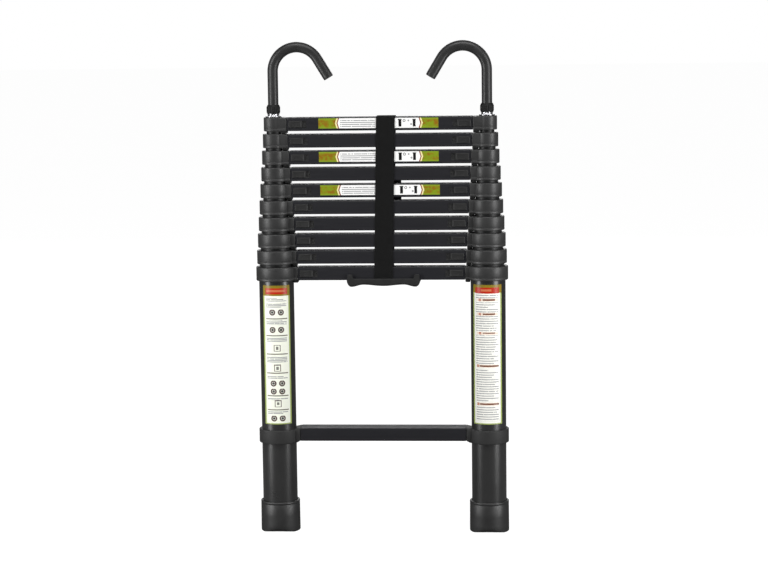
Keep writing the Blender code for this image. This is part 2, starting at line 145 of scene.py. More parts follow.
def turn(profile, count=64, ridge=None, start=0.0):
    """Points turned about Z: (radius cos a, radius sin a, height) for each profile point and angle a.

    ridge(a, height) is added to the radius wherever the profile's third value is above 0.
    """
    profile = np.array([p if len(p) == 3 else (*p, 0) for p in profile], float)
    angle = start + np.linspace(0, 2 * np.pi, count, endpoint=False)
    radius = np.repeat(profile[:, :1], count, axis=1)
    height = np.repeat(profile[:, 1:2], count, axis=1)
    if ridge is not None:
        radius = radius + profile[:, 2:3] * ridge(angle[None, :], height)
    return np.stack([radius * np.cos(angle), radius * np.sin(angle), height], axis=-1)


def rounded(points, radius, steps=4):
    """A closed outline with each corner cut back by radius and joined by a quadratic curve."""
    points = np.array(points, float)
    before, after = np.roll(points, 1, axis=0) - points, np.roll(points, -1, axis=0) - points
    lengths = [np.linalg.norm(v, axis=1, keepdims=True) for v in (before, after)]
    cut = np.minimum(np.reshape(radius, (-1, 1)), np.minimum(*lengths) * 0.49)
    a, b = points + before / lengths[0] * cut, points + after / lengths[1] * cut
    t = np.linspace(0, 1, steps)[None, :, None]
    curve = (1 - t) ** 2 * a[:, None] + 2 * t * (1 - t) * points[:, None] + t**2 * b[:, None]
    return curve.reshape(-1, 2)


def slab(x, y, z, edge):
    """A block with rounded edges: a rounded outline in XY, drawn in by the edge's arc at its ends."""
    rise = np.linspace(0, np.pi / 2, 4)
    inset = edge * np.concatenate([1 - np.sin(rise), 1 - np.sin(rise[::-1])])
    lift = edge * (1 - np.cos(rise))
    level = np.concatenate([z[0] + lift, z[1] - lift[::-1]])
    corners = [(0, 0), (1, 0), (1, 1), (0, 1)]
    rings = []
    for into, height in [(None, z[0]), *zip(inset, level), (None, z[1])]:
        if into is None:
            ring = np.tile([(x[0] + x[1]) / 2, (y[0] + y[1]) / 2], (16, 1))
        else:
            low, high = np.array([x[0] + into, y[0] + into]), np.array([x[1] - into, y[1] - into])
            ring = rounded([low + np.array(c) * (high - low) for c in corners], edge)
        rings.append(np.column_stack([ring, np.full(len(ring), height)]))
    return np.array(rings)


def put(grid, side, x, z):
    """Moves a grid made about a stile's axis, +X towards the ladder's middle, to its place."""
    return grid * np.array([-side, 1, 1]) + np.array([side * x, 0, z])


print("helpers ready")

# %% [markdown]
# ## Sizes from the model
# Each tube is as far across as the model's box says, less the collar's wall. The model's tubes have
# 24 flats, so the box gives the size across flats, and the round tubes here keep inside it.

# %% Where the pieces are
SECTIONS = 10
CLIMB = 305 * MM  # from rung to rung when the ladder is open
PITCH = 31 * MM  # from rung to rung in the closed stack
COLLAR_WALL = 5 * MM
TUBE_WALL = 1.5 * MM
HALF_COLLAR = 13 * MM
SPIGOT = 48 * MM
FOOT_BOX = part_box("foot_right")
AXIS = (FOOT_BOX[0][0] + FOOT_BOX[1][0]) / 2
rung_boxes = {n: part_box(f"rung_{n:02d}") for n in range(1, SECTIONS + 2)}
rung_mid = {n: (low[2] + high[2]) / 2 for n, (low, high) in rung_boxes.items()}
collar_radius = {s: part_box(f"stile_{s:02d}_right")[1][0] - AXIS for s in range(1, SECTIONS + 1)}
tube_radius = {s: r - COLLAR_WALL for s, r in collar_radius.items()}
arm_end = {s: AXIS - rung_boxes[s + 1][1][0] - 0.3 * MM for s in range(1, SECTIONS + 1)}
HALF_DEPTH = rung_boxes[5][1][1]
HALF_RUNG = rung_boxes[5][1][2] - rung_mid[5]
print("stile axes", round(2 * AXIS / MM, 1), "mm apart")
print("tubes", [round(2 * r / MM, 1) for r in tube_radius.values()], "mm across")

# %% [markdown]
# ## Materials
# Everything on this ladder is dark, so what tells one piece from the next is how each surface
# spreads the light: the coated tubes are satin, the nylon is finely grained, the rungs show the
# draw lines of the extrusion and the webbing hardly shines. A material is a base shader with a few
# nodes on it, and its patterns are set in millimetres.

# %% Colour, nodes and patterns
TILE = 100 * MM  # the length that a value of 1 stands for in a piece's UV map


def linear(code):
    """The linear colour of an sRGB hex value."""
    parts = [int(code[i : i + 2], 16) / 255 for i in (1, 3, 5)]
    return (*[c / 12.92 if c <= 0.04045 else ((c + 0.055) / 1.055) ** 2.4 for c in parts], 1)


def add(tree, kind, inputs=None, **settings):
    """Adds a node with its settings; inputs maps a socket to a value or to another node's output."""
    made = tree.nodes.new("ShaderNode" + kind)
    for key, value in settings.items():
        setattr(made, key, value)
    for key, value in (inputs or {}).items():
        if isinstance(value, bpy.types.NodeSocket):
            tree.links.new(value, made.inputs[key])
        else:
            made.inputs[key].default_value = value
    return made


def start(name, **sockets):
    """A new material, with constants set on its shader's own sockets."""
    made = bpy.data.materials.new(name)
    made.use_nodes = True
    shader = made.node_tree.nodes["Principled BSDF"]
    for key, value in sockets.items():
        shader.inputs[key.replace("_", " ")].default_value = value
    return made, made.node_tree, shader


def mottle(tree, shader, dark, light, size, roughness, stretch=(1, 1, 1)):
    """Colour and roughness that wander between two values over patches of this size in metres."""
    place = add(tree, "TexCoord").outputs["Object"]
    place = add(tree, "Mapping", {"Vector": place, "Scale": stretch}).outputs[0]
    noise = add(tree, "TexNoise", {"Vector": place, "Scale": 1 / size, "Detail": 3}).outputs[0]
    colour = add(
        tree, "Mix", {0: noise, 6: linear(dark), 7: linear(light)}, data_type="RGBA"
    ).outputs[2]
    tree.links.new(colour, shader.inputs["Base Color"])
    spread = add(
        tree, "MapRange", {0: noise, 1: 0.3, 2: 0.7, 3: roughness[0], 4: roughness[1]}
    ).outputs[0]
    tree.links.new(spread, shader.inputs["Roughness"])
    return place, colour


def grain(tree, shader, place, size, depth, detail=2.0):
    """Small bumps of this size and depth, in metres."""
    noise = add(tree, "TexNoise", {"Vector": place, "Scale": 1 / size, "Detail": detail})
    bump = add(tree, "Bump", {"Height": noise.outputs[0], "Distance": depth, "Strength": 1.0})
    tree.links.new(bump.outputs[0], shader.inputs["Normal"])
    return bump


def surface(name, tones, patch, roughness, bumps, stretch=(1, 1, 1), detail=2.0, **sockets):
    """A material with two tones in patches and small bumps, given as their (size, depth)."""
    made, tree, shader = start(name, **sockets)
    place, _ = mottle(tree, shader, *tones, patch, roughness, stretch)
    grain(tree, shader, place, *bumps, detail)
    return made


print("node helpers ready")

# %% [markdown]
# ### Tubes: powder-coated aluminium
# The tubes are extruded aluminium with a dark grey satin powder coat. The coat melts into a very
# slightly wavy skin, orange peel, about 1.5 mm from crest to crest, which softens reflections into
# broad upright bands.

# %% Tubes and collars
tube_coat = surface(
    "satin_powder_coat", ("#232323", "#2a2a2a"), 60 * MM, (0.27, 0.32), (1.5 * MM, 0.02 * MM),
    IOR=1.5, Specular_IOR_Level=0.68,
)

# The nine inner pairs are only anodised, so that they slide: less shiny than the coat. Their blacker
# base colour is painted shade for the narrow gaps between the stacked collars, where they show.
inner_tube_shaded_anodise = surface(
    "anodised_tube_painted_shade", ("#181818", "#222222"), 8 * MM, (0.42, 0.5), (1.0 * MM, 0.012 * MM),
    stretch=(1, 1, 0.05), IOR=1.5, Specular_IOR_Level=0.35,
)

# Collars, arms and lugs: glass-filled nylon from a mould with a spark-eroded grain. The real grain
# is about 0.3 mm, too fine to show, so it is drawn at 0.8 mm.
collar_nylon = surface(
    "glass_filled_nylon", ("#292929", "#333333"), 25 * MM, (0.4, 0.48), (0.8 * MM, 0.03 * MM),
    IOR=1.53, Specular_IOR_Level=0.45,
)

# First rung's clamps: the same nylon from a blasted mould, so matt and without bands.
clamp_nylon = surface(
    "matt_nylon", ("#242424", "#2d2d2d"), 25 * MM, (0.56, 0.64), (0.8 * MM, 0.04 * MM),
    IOR=1.53, Specular_IOR_Level=0.35,
)
print("made", tube_coat.name, inner_tube_shaded_anodise.name, collar_nylon.name, clamp_nylon.name)

# %% [markdown]
# ### Rungs: black anodised extrusion
# The die leaves fine lines along the rung, so the noise is stretched forty times in X. Anodising
# keeps them and gives a black with a trace of blue.

# %% Rungs, thumb plates and feet
rung_anodise = surface(
    "black_anodised_extrusion", ("#151519", "#1f1f23"), 1.2 * MM, (0.46, 0.56),
    (0.9 * MM, 0.015 * MM), stretch=(0.025, 1, 1), IOR=1.5, Specular_IOR_Level=0.32,
)

# Thumb plates, their stems and the carry grip: plain moulded nylon, a little smoother than a rung.
plate_nylon = surface(
    "moulded_nylon_plate", ("#1d1d1d", "#242424"), 12 * MM, (0.5, 0.6), (0.7 * MM, 0.02 * MM),
    IOR=1.53, Specular_IOR_Level=0.32,
)

# Feet: moulded rubber, matt, with a fine bloom in paler patches.
foot_rubber = surface(
    "moulded_rubber", ("#1a1a1a", "#232323"), 18 * MM, (0.42, 0.52), (0.9 * MM, 0.05 * MM),
    detail=4, IOR=1.52, Specular_IOR_Level=0.64,
)
print("made", rung_anodise.name, plate_nylon.name, foot_rubber.name)

# %% [markdown]
# ### Hooks, nuts, zinc and steel
# The hooks are steel bar dipped in black vinyl: smooth, with soft runs along the bar. Sockets and
# locking pins are zinc-plated steel, the only bright metal on the ladder. It is a metal, so it keeps
# the default IOR. The nuts and the strap's buckle are a blacker nylon, and the rivets and the studs
# in the windows are blackened steel.

# %% Hooks and metal
dipped_vinyl = surface(
    "vinyl_dipped_steel", ("#232323", "#2e2e2e"), 14 * MM, (0.33, 0.45), (5 * MM, 0.12 * MM),
    stretch=(1, 1, 0.4), IOR=1.52, Specular_IOR_Level=0.36,
)
knob_nylon = surface(
    "ribbed_nylon", ("#0e0e0e", "#171717"), 10 * MM, (0.5, 0.6), (0.7 * MM, 0.03 * MM),
    IOR=1.53, Specular_IOR_Level=0.19,
)
zinc = surface(
    "zinc_plated_steel", ("#c9c9cc", "#ececee"), 3 * MM, (0.18, 0.3), (0.6 * MM, 0.01 * MM),
    Metallic=1.0,
)
rivet_steel = surface(
    "blackened_steel", ("#2a2a2a", "#3a3a3a"), 2 * MM, (0.35, 0.5), (0.5 * MM, 0.01 * MM),
    Metallic=0.6,
)
print("made", dipped_vinyl.name, knob_nylon.name, zinc.name, rivet_steel.name)

# %% [markdown]
# ### Webbing: woven polyester
# A flat weave 35 mm wide. The warp cords run along it 1.75 mm apart and the weft crosses them every
# 2 mm, each row of stitches shifted half a cord from the last. Height is the product of two waves,
# read from the strap's own UV map so that it follows the strap round its bends.

# %% Webbing
CORD, PICK = 1.75 * MM, 2.0 * MM
webbing, tree, shader = start("woven_polyester", IOR=1.5, Specular_IOR_Level=0.13, Sheen_Weight=0.03)
across = add(tree, "SeparateXYZ", {0: add(tree, "UVMap", uv_map="UVMap").outputs[0]})


def wave(source, spacing, shift=None):
    """A sine along source, from -1 to 1, once every spacing, moved by shift radians."""
    turns = add(tree, "Math", {0: source, 1: 2 * math.pi * TILE / spacing}, operation="MULTIPLY")
    if shift is not None:
        turns = add(tree, "Math", {0: turns.outputs[0], 1: shift}, operation="ADD")
    return add(tree, "Math", {0: turns.outputs[0]}, operation="SINE").outputs[0]


warp = wave(across.outputs["X"], CORD)
weft = wave(across.outputs["Y"], PICK)
checks = add(tree, "Math", {0: warp, 1: weft}, operation="MULTIPLY").outputs[0]
ribs = add(tree, "Math", {0: warp, 1: warp}, operation="MULTIPLY").outputs[0]
height = add(tree, "Math", {0: checks, 1: 0.5, 2: ribs}, operation="MULTIPLY_ADD").outputs[0]
bump = add(tree, "Bump", {"Height": height, "Distance": 0.25 * MM, "Strength": 1.0})
tree.links.new(bump.outputs[0], shader.inputs["Normal"])
place, colour = mottle(tree, shader, "#0f0f0f", "#171717", 9 * MM, (0.8, 0.92))
# The weave's height also scales the base colour: painted shade in the troughs between the cords and
# painted highlight on their crests.
shade = add(tree, "MapRange", {0: height, 1: -0.5, 2: 1.5, 3: 0.75, 4: 1.15}).outputs[0]
weave_shaded_colour = add(tree, "VectorMath", {0: colour, "Scale": shade}, operation="SCALE").outputs[0]
tree.links.new(weave_shaded_colour, shader.inputs["Base Color"])
print("made", webbing.name)

# %% [markdown]
# ## Tubes
# Each tube is drawn with a wall, and all but the lowest pair have one hole at the height where the
# pin of the section below locks them. A round hole in a square grid needs the grid bent: points in a
# small window round the hole are pushed from squares onto circles, and the cells in the middle are
# left out.

# %% Tubes
PIN_HOLE = 4.4 * MM


def tube(section, bottom, top, hole):
    """A sheet round the tube: angle across, height up, with its lock hole facing the rung.

    Inside the window, a point at (a, b) moves to the circle of radius max(|a|, |b|), less and less
    towards the window's edge.
    """
    radius = tube_radius[section]
    reach = 2 * PIN_HOLE
    near = np.linspace(-1, 1, 17)
    wide = reach / radius
    angle = np.concatenate([near * wide, np.linspace(wide, 2 * np.pi - wide, 56)[1:-1]])
    heights = np.array([bottom, bottom + 1 * MM, *np.linspace(bottom + 30 * MM, top, 6)])
    gaps = None
    if hole is not None:
        below = np.linspace(bottom, hole - reach, 5)[:-1]
        above = np.linspace(hole + reach, top, 6)[1:]
        heights = np.concatenate([below, hole + near * reach, above])
    along, up = np.meshgrid(angle, heights)
    if hole is not None:
        a, b = along * radius / reach, (up - hole) / reach
        square = np.maximum(abs(a), abs(b))
        inside = square <= 1.0001
        length = np.where(inside, np.hypot(a, b), 1)
        pull = np.where(square <= 0.5, 1, np.clip(2 - 2 * square, 0, 1))
        factor = 1 + pull * (square / np.maximum(length, 1e-9) - 1)
        factor = np.where(inside & (length > 1e-9), factor, 1)
        along = np.where(inside, along * factor, along)
        up = np.where(inside, hole + (up - hole) * factor, up)
        middle = (square[:-1, :-1] + square[1:, 1:] + square[:-1, 1:] + square[1:, :-1]) / 4
        gaps = np.hstack([middle < 0.5, np.zeros((len(heights) - 1, 1), bool)])
    grid = np.stack([radius * np.cos(along), radius * np.sin(along), up], axis=-1)
    return grid, {"gaps": gaps}


for section in range(1, SECTIONS + 1):
    for word, side in SIDES.items():
        node = f"stile_{section:02d}_{word}"
        low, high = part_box(node)
        top = high[2] - 2 * MM
        hole = None if section == 1 else rung_mid[section + 1] - CLIMB
        grid, settings = tube(section, low[2], top, hole)
        make(
            f"tube_{section:02d}_{word}", [(put(grid, side, AXIS, 0), settings)],
            tube_coat if section == 1 else inner_tube_shaded_anodise, f"section_{section:02d}",
            wall=TUBE_WALL, inside=(side * AXIS, 0, (low[2] + top) / 2),
        )
print("20 tubes, the lowest", round(2 * tube_radius[1] / MM, 1), "mm across")

# %% [markdown]
# ## Collars
# A collar is one moulding: a ring round the tube, an arm that meets the rung, a lug underneath that
# keeps fingers safe, and a spigot that goes into the rung. The ring and arm share an outline, a
# circle run into a rectangle, carried up a profile with rounded edges and a shallow parting groove.

# %% Collars
ARM_CORNER = 2.2 * MM
ROUND_STEPS = 56
LUG_HALF, LUG_BOTTOM = 10 * MM, -17.6 * MM
BAR_GAP, CHANNEL_HALF = 4.9 * MM, 5.6 * MM  # the pin runs in a channel between a spigot's bars
CHANNEL_BACK, BED_START = 5 * MM, 25 * MM


def collar_outline(radius, end, half_depth, inset):
    """A circle with an arm towards +X, all drawn in by inset, always with as many points."""
    radius, end, half_depth = radius - inset, end - inset, half_depth - inset
    corner = max(ARM_CORNER - inset, 0.2 * MM)
    joint = math.asin(min(half_depth / radius, 0.98))
    angle = np.linspace(joint, 2 * np.pi - joint, ROUND_STEPS)
    ring = radius * np.column_stack([np.cos(angle), np.sin(angle)])
    side_x = np.linspace(radius * math.cos(joint), end - corner, 5)[1:]
    bend = np.linspace(-np.pi / 2, 0, 5)[1:]
    lower = np.column_stack([side_x, np.full(4, -half_depth)])
    low_bend = np.column_stack(
        [end - corner + corner * np.cos(bend), corner * np.sin(bend) - half_depth + corner]
    )
    upper = (np.vstack([lower, low_bend]) * [1, -1])[::-1]
    return np.vstack([ring, lower, low_bend, upper])


def collar_ring(outer, tube_bore, top_bore, end, half_depth, half, arm_half, groove=True):
    """The collar's outline carried up its profile, and down inside through the stepped bore."""
    arc = np.linspace(0, np.pi / 2, 5)
    edge = 1.5 * MM
    profile = [(-half + edge * (1 - math.cos(a)), edge * (1 - math.sin(a))) for a in arc]
    if groove:
        level = -half + 5 * MM
        profile += [(level - 0.5 * MM, 0), (level, 0.35 * MM), (level + 0.5 * MM, 0)]
    profile += [(half - edge * (1 - math.cos(a)), edge * (1 - math.sin(a))) for a in arc[::-1]]
    rings = []
    for height, inset in profile:
        ring = collar_outline(outer, end, half_depth, inset)
        far = np.clip((ring[:, 0] - outer * 0.8) / (outer * 0.2), 0, 1)
        level = height * (1 + far * (arm_half / half - 1))
        rings.append(np.column_stack([ring, level]))
    angle = np.arctan2(rings[0][:, 1], rings[0][:, 0])
    step = half - 2 * MM
    bore = np.column_stack([np.cos(angle), np.sin(angle)])
    for radius, height in ((top_bore, half), (top_bore, step), (tube_bore, step), (tube_bore, -half)):
        rings.append(np.column_stack([radius * bore, np.full(len(angle), height)]))
    return np.array(rings), {"wrap_rows": True}


def spigot(section, depth, solid):
    """The bars that go into the rung; where a locking pin runs between them they leave a channel."""
    start_x, stop_x = arm_end[section] - 1 * MM, arm_end[section] + SPIGOT
    back, tall, edge = depth - 2 * MM, HALF_RUNG - 2 * MM, 0.8 * MM
    if solid:
        return [(slab((start_x, stop_x), (-back, back), (-tall, tall), edge), {})]
    channel = (-CHANNEL_HALF, CHANNEL_HALF)
    return [
        (slab((start_x, stop_x), (-back, back), (BAR_GAP, tall), edge), {}),
        (slab((start_x, stop_x), (-back, back), (-tall, -BAR_GAP), edge), {}),
        (slab((start_x, stop_x), (CHANNEL_BACK, back), channel, edge), {}),
        (slab((start_x + BED_START, stop_x), (-back, CHANNEL_HALF), channel, edge), {}),
    ]


def collar(section):
    """One collar about its stile's axis, its rung's middle at height 0."""
    radius = tube_radius[section]
    top_bore = (tube_radius[section + 1] if section < SECTIONS else radius - 1.9 * MM) + 0.4 * MM
    ring = collar_ring(
        collar_radius[section], radius + 0.02 * MM, top_bore, arm_end[section],
        HALF_DEPTH - 0.15 * MM, HALF_COLLAR, HALF_RUNG,
    )
    lug = slab(
        (radius + 0.3 * MM, arm_end[section] - 0.5 * MM), (-LUG_HALF, LUG_HALF),
        (LUG_BOTTOM, -HALF_RUNG + 2 * MM), 1.6 * MM,
    )
    return [ring, (lug, {}), *spigot(section, HALF_DEPTH, section == SECTIONS)]


for section in range(1, SECTIONS + 1):
    for word, side in SIDES.items():
        grids = [(put(g, side, AXIS, rung_mid[section + 1]), s) for g, s in collar(section)]
        make(
            f"collar_{section:02d}_{word}", grids, collar_nylon, f"section_{section:02d}",
            [f"stile_{section:02d}_{word}"],
        )
print("20 collars, arms to", round(arm_end[1] / MM, 1), "mm from the stile's axis")

# %% [markdown]
# ## First rung's clamps
# The lowest rung doesn't move, so it has a plain clamp round the outermost tube, with the same kind
# of arm. It has no lug, and its ring drops 3 mm below the middle of its rung by a smooth curve
# 3t^2 - 2t^3 over the last 8 mm of the arm.

# %% Clamps
FIRST_HALF_DEPTH = rung_boxes[1][1][1]
CLAMP_DROP, CLAMP_EASE = 3 * MM, 8 * MM
for word, side in SIDES.items():
    ring, settings = collar_ring(
        collar_radius[1], tube_radius[1] + 0.02 * MM, tube_radius[1] + 0.02 * MM, arm_end[1],
        FIRST_HALF_DEPTH - 0.15 * MM, HALF_COLLAR, HALF_RUNG, groove=False,
    )
    out = np.clip((arm_end[1] - ring[..., 0]) / CLAMP_EASE, 0, 1)
    ring[..., 2] -= CLAMP_DROP * out * out * (3 - 2 * out)
    grids = [(put(ring, side, AXIS, rung_mid[1]), settings)]
    grids += [(put(g, side, AXIS, rung_mid[1]), s) for g, s in spigot(1, FIRST_HALF_DEPTH, True)]
    make(
        f"clamp_01_{word}", grids, clamp_nylon, "section_01",
        [f"stile_01_{word}"],
    )
print("2 clamps")

# %% [markdown]
# ## Rungs
# A rung is a hollow extrusion: one outline carried along X. Its tread is flat with shallow grooves
# for grip, and its front has a fine step near each edge. Windows for the thumb plates are cells left
# out of the sheet before it gets its 1.6 mm wall.

# %% Rungs
RUNG_WALL = 1.6 * MM
WINDOW = 33.8 * MM
WINDOW_INSET = 3 * MM
WINDOW_HALF = 6.7 * MM


def rung_outline(half_depth, half_height):
    """Half an outline from the middle of the tread to the middle of the underside, then its mirror.

    The tread's grooves are 0.45 mm deep and 4.8 mm apart; the front's lines are 0.1 mm deep.
    """
    groove = []
    for middle in (0, -4.8, -9.6):
        for offset, depth in ((0.9, 0), (0.4, -0.45), (-0.4, -0.45), (-0.9, 0)):
            groove.append(((middle + offset) * MM, half_height + depth * MM))
    groove = [p for p in groove if p[0] <= 0]
    arc = np.linspace(np.pi / 2, 0, 5)
    corner, line = 2 * MM, half_height - 4.2 * MM
    bend = [
        (-half_depth + corner * (1 - math.cos(a)), half_height - corner * (1 - math.sin(a)))
        for a in arc
    ]
    face = []
    for level in (line, WINDOW_HALF, 3 * MM, 0, -3 * MM, -WINDOW_HALF, -line):
        face.append((-half_depth, level))
        if abs(level) > WINDOW_HALF:
            face[-1:] = [
                (-half_depth, level + 0.3 * MM), (-half_depth + 0.1 * MM, level),
                (-half_depth, level - 0.3 * MM),
            ]
    low_bend = [(y, -z) for y, z in bend[::-1]]
    low_groove = [(y, -z) for y, z in groove[::-1]]
    front = np.array(groove + bend + face + low_bend + low_groove)
    back = (front * [-1, 1])[::-1]
    return np.vstack([front, back])


def rung(number):
    """The outline carried along X, with window cells left out of the front of all but the lowest."""
    half, half_depth = rung_boxes[number][1][:2]
    edge = half - WINDOW_INSET + 0.3 * MM
    far = edge - WINDOW
    steps = np.array([far, far + 1 * MM, edge - 1 * MM, edge, half])
    stations = np.concatenate([-steps[::-1], np.linspace(-far, far, 13)[1:-1], steps])
    outline = rung_outline(half_depth, HALF_RUNG)
    x = np.repeat(stations[:, None], len(outline), axis=1)
    y, z = (np.tile(part, (len(stations), 1)) for part in outline.T)
    grid = np.stack([x, y, rung_mid[number] + z], axis=-1)
    if number == 1:
        return grid, {}
    centre_x = abs(stations[1:] + stations[:-1]) / 2
    middle = (outline + np.roll(outline, -1, axis=0)) / 2
    in_x = (centre_x > far) & (centre_x < edge)
    in_z = (abs(middle[:, 1]) < WINDOW_HALF) & (middle[:, 0] < -half_depth + 1 * MM)
    return grid, {"gaps": in_x[:, None] & in_z[None, :]}


for number in range(1, SECTIONS + 2):
    body = f"section_{max(number - 1, 1):02d}"
    make(
        f"rung_{number:02d}_extrusion", [rung(number)], rung_anodise, body,
        [f"rung_{number:02d}"], wall=RUNG_WALL, inside=(0, 0, rung_mid[number]), sharp=30,
    )
print("11 rungs,", round(2 * HALF_RUNG / MM, 1), "mm high")

# %% [markdown]
# ## Thumb plates and locking pins
# Each plate is a small dish: a border round it, a hollow for the thumb and a raised lip at the end
# nearest the middle, which catches the light. Behind it a nylon stem holds the zinc-plated pin, and a
# small stud sits in the window past the plate's reach. The plates of the top rung are the same, but
# moulded in place, without stem, pin or stud.

# %% Thumb plates and pins
PLATE_LENGTH, PLATE_HALF = 25 * MM, 6.3 * MM
PLATE_FRONT = HALF_DEPTH + 1.5 * MM
PLATE_EDGE = 0.9 * MM
STUD_PLACE, BED_FRONT = 31 * MM, 14.7 * MM  # along the window, and the floor it stands on


def smooth(value, low, high):
    """0 below low, 1 above high, and a smooth curve 3t^2 - 2t^3 between."""
    t = np.clip((value - low) / (high - low), 0, 1)
    return t * t * (3 - 2 * t)


def thumb_plate(begin):
    """A sheet whose depth is an edge that falls away, plus a dish and a lip at its inner end."""
    u, v = np.meshgrid(np.linspace(0, 1, 41), np.linspace(-1, 1, 21))
    x, z = u * PLATE_LENGTH, v * PLATE_HALF
    border = np.minimum(np.minimum(x, PLATE_LENGTH - x), PLATE_HALF - abs(z))
    outer = 1 - np.clip(border / PLATE_EDGE, 0, 1)
    edge = PLATE_EDGE * (1 - np.sqrt(np.clip(1 - outer**2, 0, 1)))
    funnel = 1.4 * MM + 3.2 * MM * (1 - u)
    dish = smooth(PLATE_HALF - abs(z), funnel - 0.9 * MM, funnel + 0.9 * MM)
    dish = dish * smooth(x, 6.5 * MM, 8 * MM) * smooth(PLATE_LENGTH - x, 1.6 * MM, 2.6 * MM)
    step = 0.2 * MM * smooth(x, 3.5 * MM, 7 * MM) * smooth(PLATE_LENGTH - x, 1.4 * MM, 2 * MM)
    y = -PLATE_FRONT + edge + step + 0.35 * MM * dish
    return np.stack([begin + x, y, z], axis=-1), {"wrap_columns": False}


def locking_pin(begin, tip):
    """A pin along X with a bevelled nose, from its tip at the next tube to the stem."""
    length = begin - tip
    pin = turn([(0, 0), (2.6 * MM, 0), (4 * MM, 1.4 * MM), (4 * MM, length), (0, length)], 24)
    return np.stack([tip + pin[..., 2], pin[..., 0], pin[..., 1]], axis=-1)


def window_stud(begin):
    """A low round stud along Y, on the floor of the window just past the plate's reach."""
    wide, tall = 1.4 * MM, 0.45 * MM
    stud = turn([(0, 0), (wide, 0), (wide, 0.25 * MM), (1.1 * MM, tall), (0, tall)], 20)
    x, y = begin + STUD_PLACE + stud[..., 0], -BED_FRONT - stud[..., 2]
    return np.stack([x, y, stud[..., 1]], axis=-1)


for number in range(2, SECTIONS + 2):
    section = number - 1
    begin = arm_end[section] + WINDOW_INSET + 0.4 * MM
    for word, side in SIDES.items():
        grid, settings = thumb_plate(begin)
        loose = section < SECTIONS
        body = f"release_slide_{number:02d}_{word}" if loose else "section_10"
        nodes = [body] if loose else []
        height, tag = rung_mid[number], f"{number:02d}_{word}"
        make(
            f"thumb_plate_{tag}", [(put(grid, side, AXIS, height), settings)], plate_nylon, body,
            nodes, wall=2 * MM, inside=(side * (AXIS - begin), 0, height), sharp=60,
        )
        if not loose:
            continue
        stem = slab(
            (begin + 2 * MM, begin + 12 * MM), (-HALF_DEPTH + 0.2 * MM, 4.3 * MM),
            (-4.5 * MM, 4.5 * MM), 0.8 * MM,
        )
        stem = put(stem, side, AXIS, height)
        make(f"plate_stem_{tag}", [(stem, {})], plate_nylon, body)
        stud = put(window_stud(begin), side, AXIS, height)
        make(
            f"window_stud_{tag}", [(stud, {})], rivet_steel, f"section_{section:02d}",
        )
        pin = locking_pin(begin + 4 * MM, tube_radius[section + 1] + 0.5 * MM)
        pin = put(pin, side, AXIS, height)
        make(f"locking_pin_{tag}", [(pin, {})], zinc, body)
print("20 thumb plates, 18 locking pins and studs")

# %% [markdown]
# ## Feet
# Rubber cups pushed on the lowest tubes. The sole is flat in the middle and curves up at front and
# back, so it grips at whatever angle the ladder leans. A bead runs round the rim.

# %% Feet
FOOT_RADIUS = FOOT_BOX[1][0] - AXIS
FOOT_HEIGHT = FOOT_BOX[1][2]
SOLE_FLAT, SOLE_RISE = 20 * MM, 8 * MM


def foot():
    """A turned cup, its sole lifted by rise ((|y| - flat) / (radius - flat))^2."""
    out, inner, floor, edge = FOOT_RADIUS, tube_radius[1] + 0.3 * MM, 11.7 * MM, 1.2 * MM
    profile = [(out * share, 0) for share in (0, 0.2, 0.4, 0.6, 0.75, 0.87)]
    for a in np.linspace(0, np.pi / 2, 5):
        profile.append((out - edge + edge * math.sin(a), edge * (1 - math.cos(a))))
    profile += [(out, 14 * MM), (out - 0.1 * MM, 30 * MM)]
    bead = ((0.25, 6), (0.7, 5.4), (0.7, 4.8), (0.2, 4.2), (0.2, 1.4), (0.7, 0.4), (1.6, 0))
    profile += [(out - inset * MM, FOOT_HEIGHT - below * MM) for inset, below in bead]
    profile += [(inner + 0.8 * MM, FOOT_HEIGHT), (inner, FOOT_HEIGHT - 1 * MM)]
    profile += [(inner, floor), (0, floor)]
    grid = turn(profile, 96)
    low = np.clip((floor - grid[..., 2]) / floor, 0, 1)
    run = np.clip((abs(grid[..., 1]) - SOLE_FLAT) / (out - SOLE_FLAT), 0, 1)
    outside = np.arange(len(profile))[:, None] < len(profile) - 2
    grid[..., 2] += np.where(outside, SOLE_RISE * run**2 * low, 0)
    return grid


for word, side in SIDES.items():
    cup = put(foot(), side, AXIS, 0)
    make(
        f"rubber_foot_{word}", [(cup, {})], foot_rubber, "section_01",
        [f"foot_{word}"],
    )
print("2 feet,", round(2 * FOOT_RADIUS / MM, 1), "mm across")

# %% [markdown]
# ## Hooks, sockets and nuts
# The hook is a circle carried along a path: up, over in a bend and down to its tip, with a rounded
# edge at each end. The socket's thread is a helix, its radius a wave of height and angle together,
# and the nut has ribs for the fingers between two shoulders.

# %% Hooks
HOOK_BAR, HOOK_BEND = 9.7 * MM, 44.7 * MM
HOOK_SWEEP, HOOK_TIP = math.radians(149), 41.5 * MM


def hook_path(base, top, count=56):
    """Centre points and headings: a straight shank, an arc of 149 degrees, a straight tip."""
    centre_z = top - HOOK_BEND - HOOK_BAR
    turned = np.linspace(0, HOOK_SWEEP, count)
    x, z = HOOK_BEND * (1 - np.cos(turned)), centre_z + HOOK_BEND * np.sin(turned)
    shank = np.linspace(base, centre_z, 14)[:-1]
    tip = np.linspace(0, HOOK_TIP, 10)[1:]
    x = np.concatenate([np.zeros(13), x, x[-1] + tip * math.sin(HOOK_SWEEP)])
    z = np.concatenate([shank, z, z[-1] + tip * math.cos(HOOK_SWEEP)])
    return x, z, np.concatenate([np.zeros(13), turned, np.full(9, HOOK_SWEEP)])


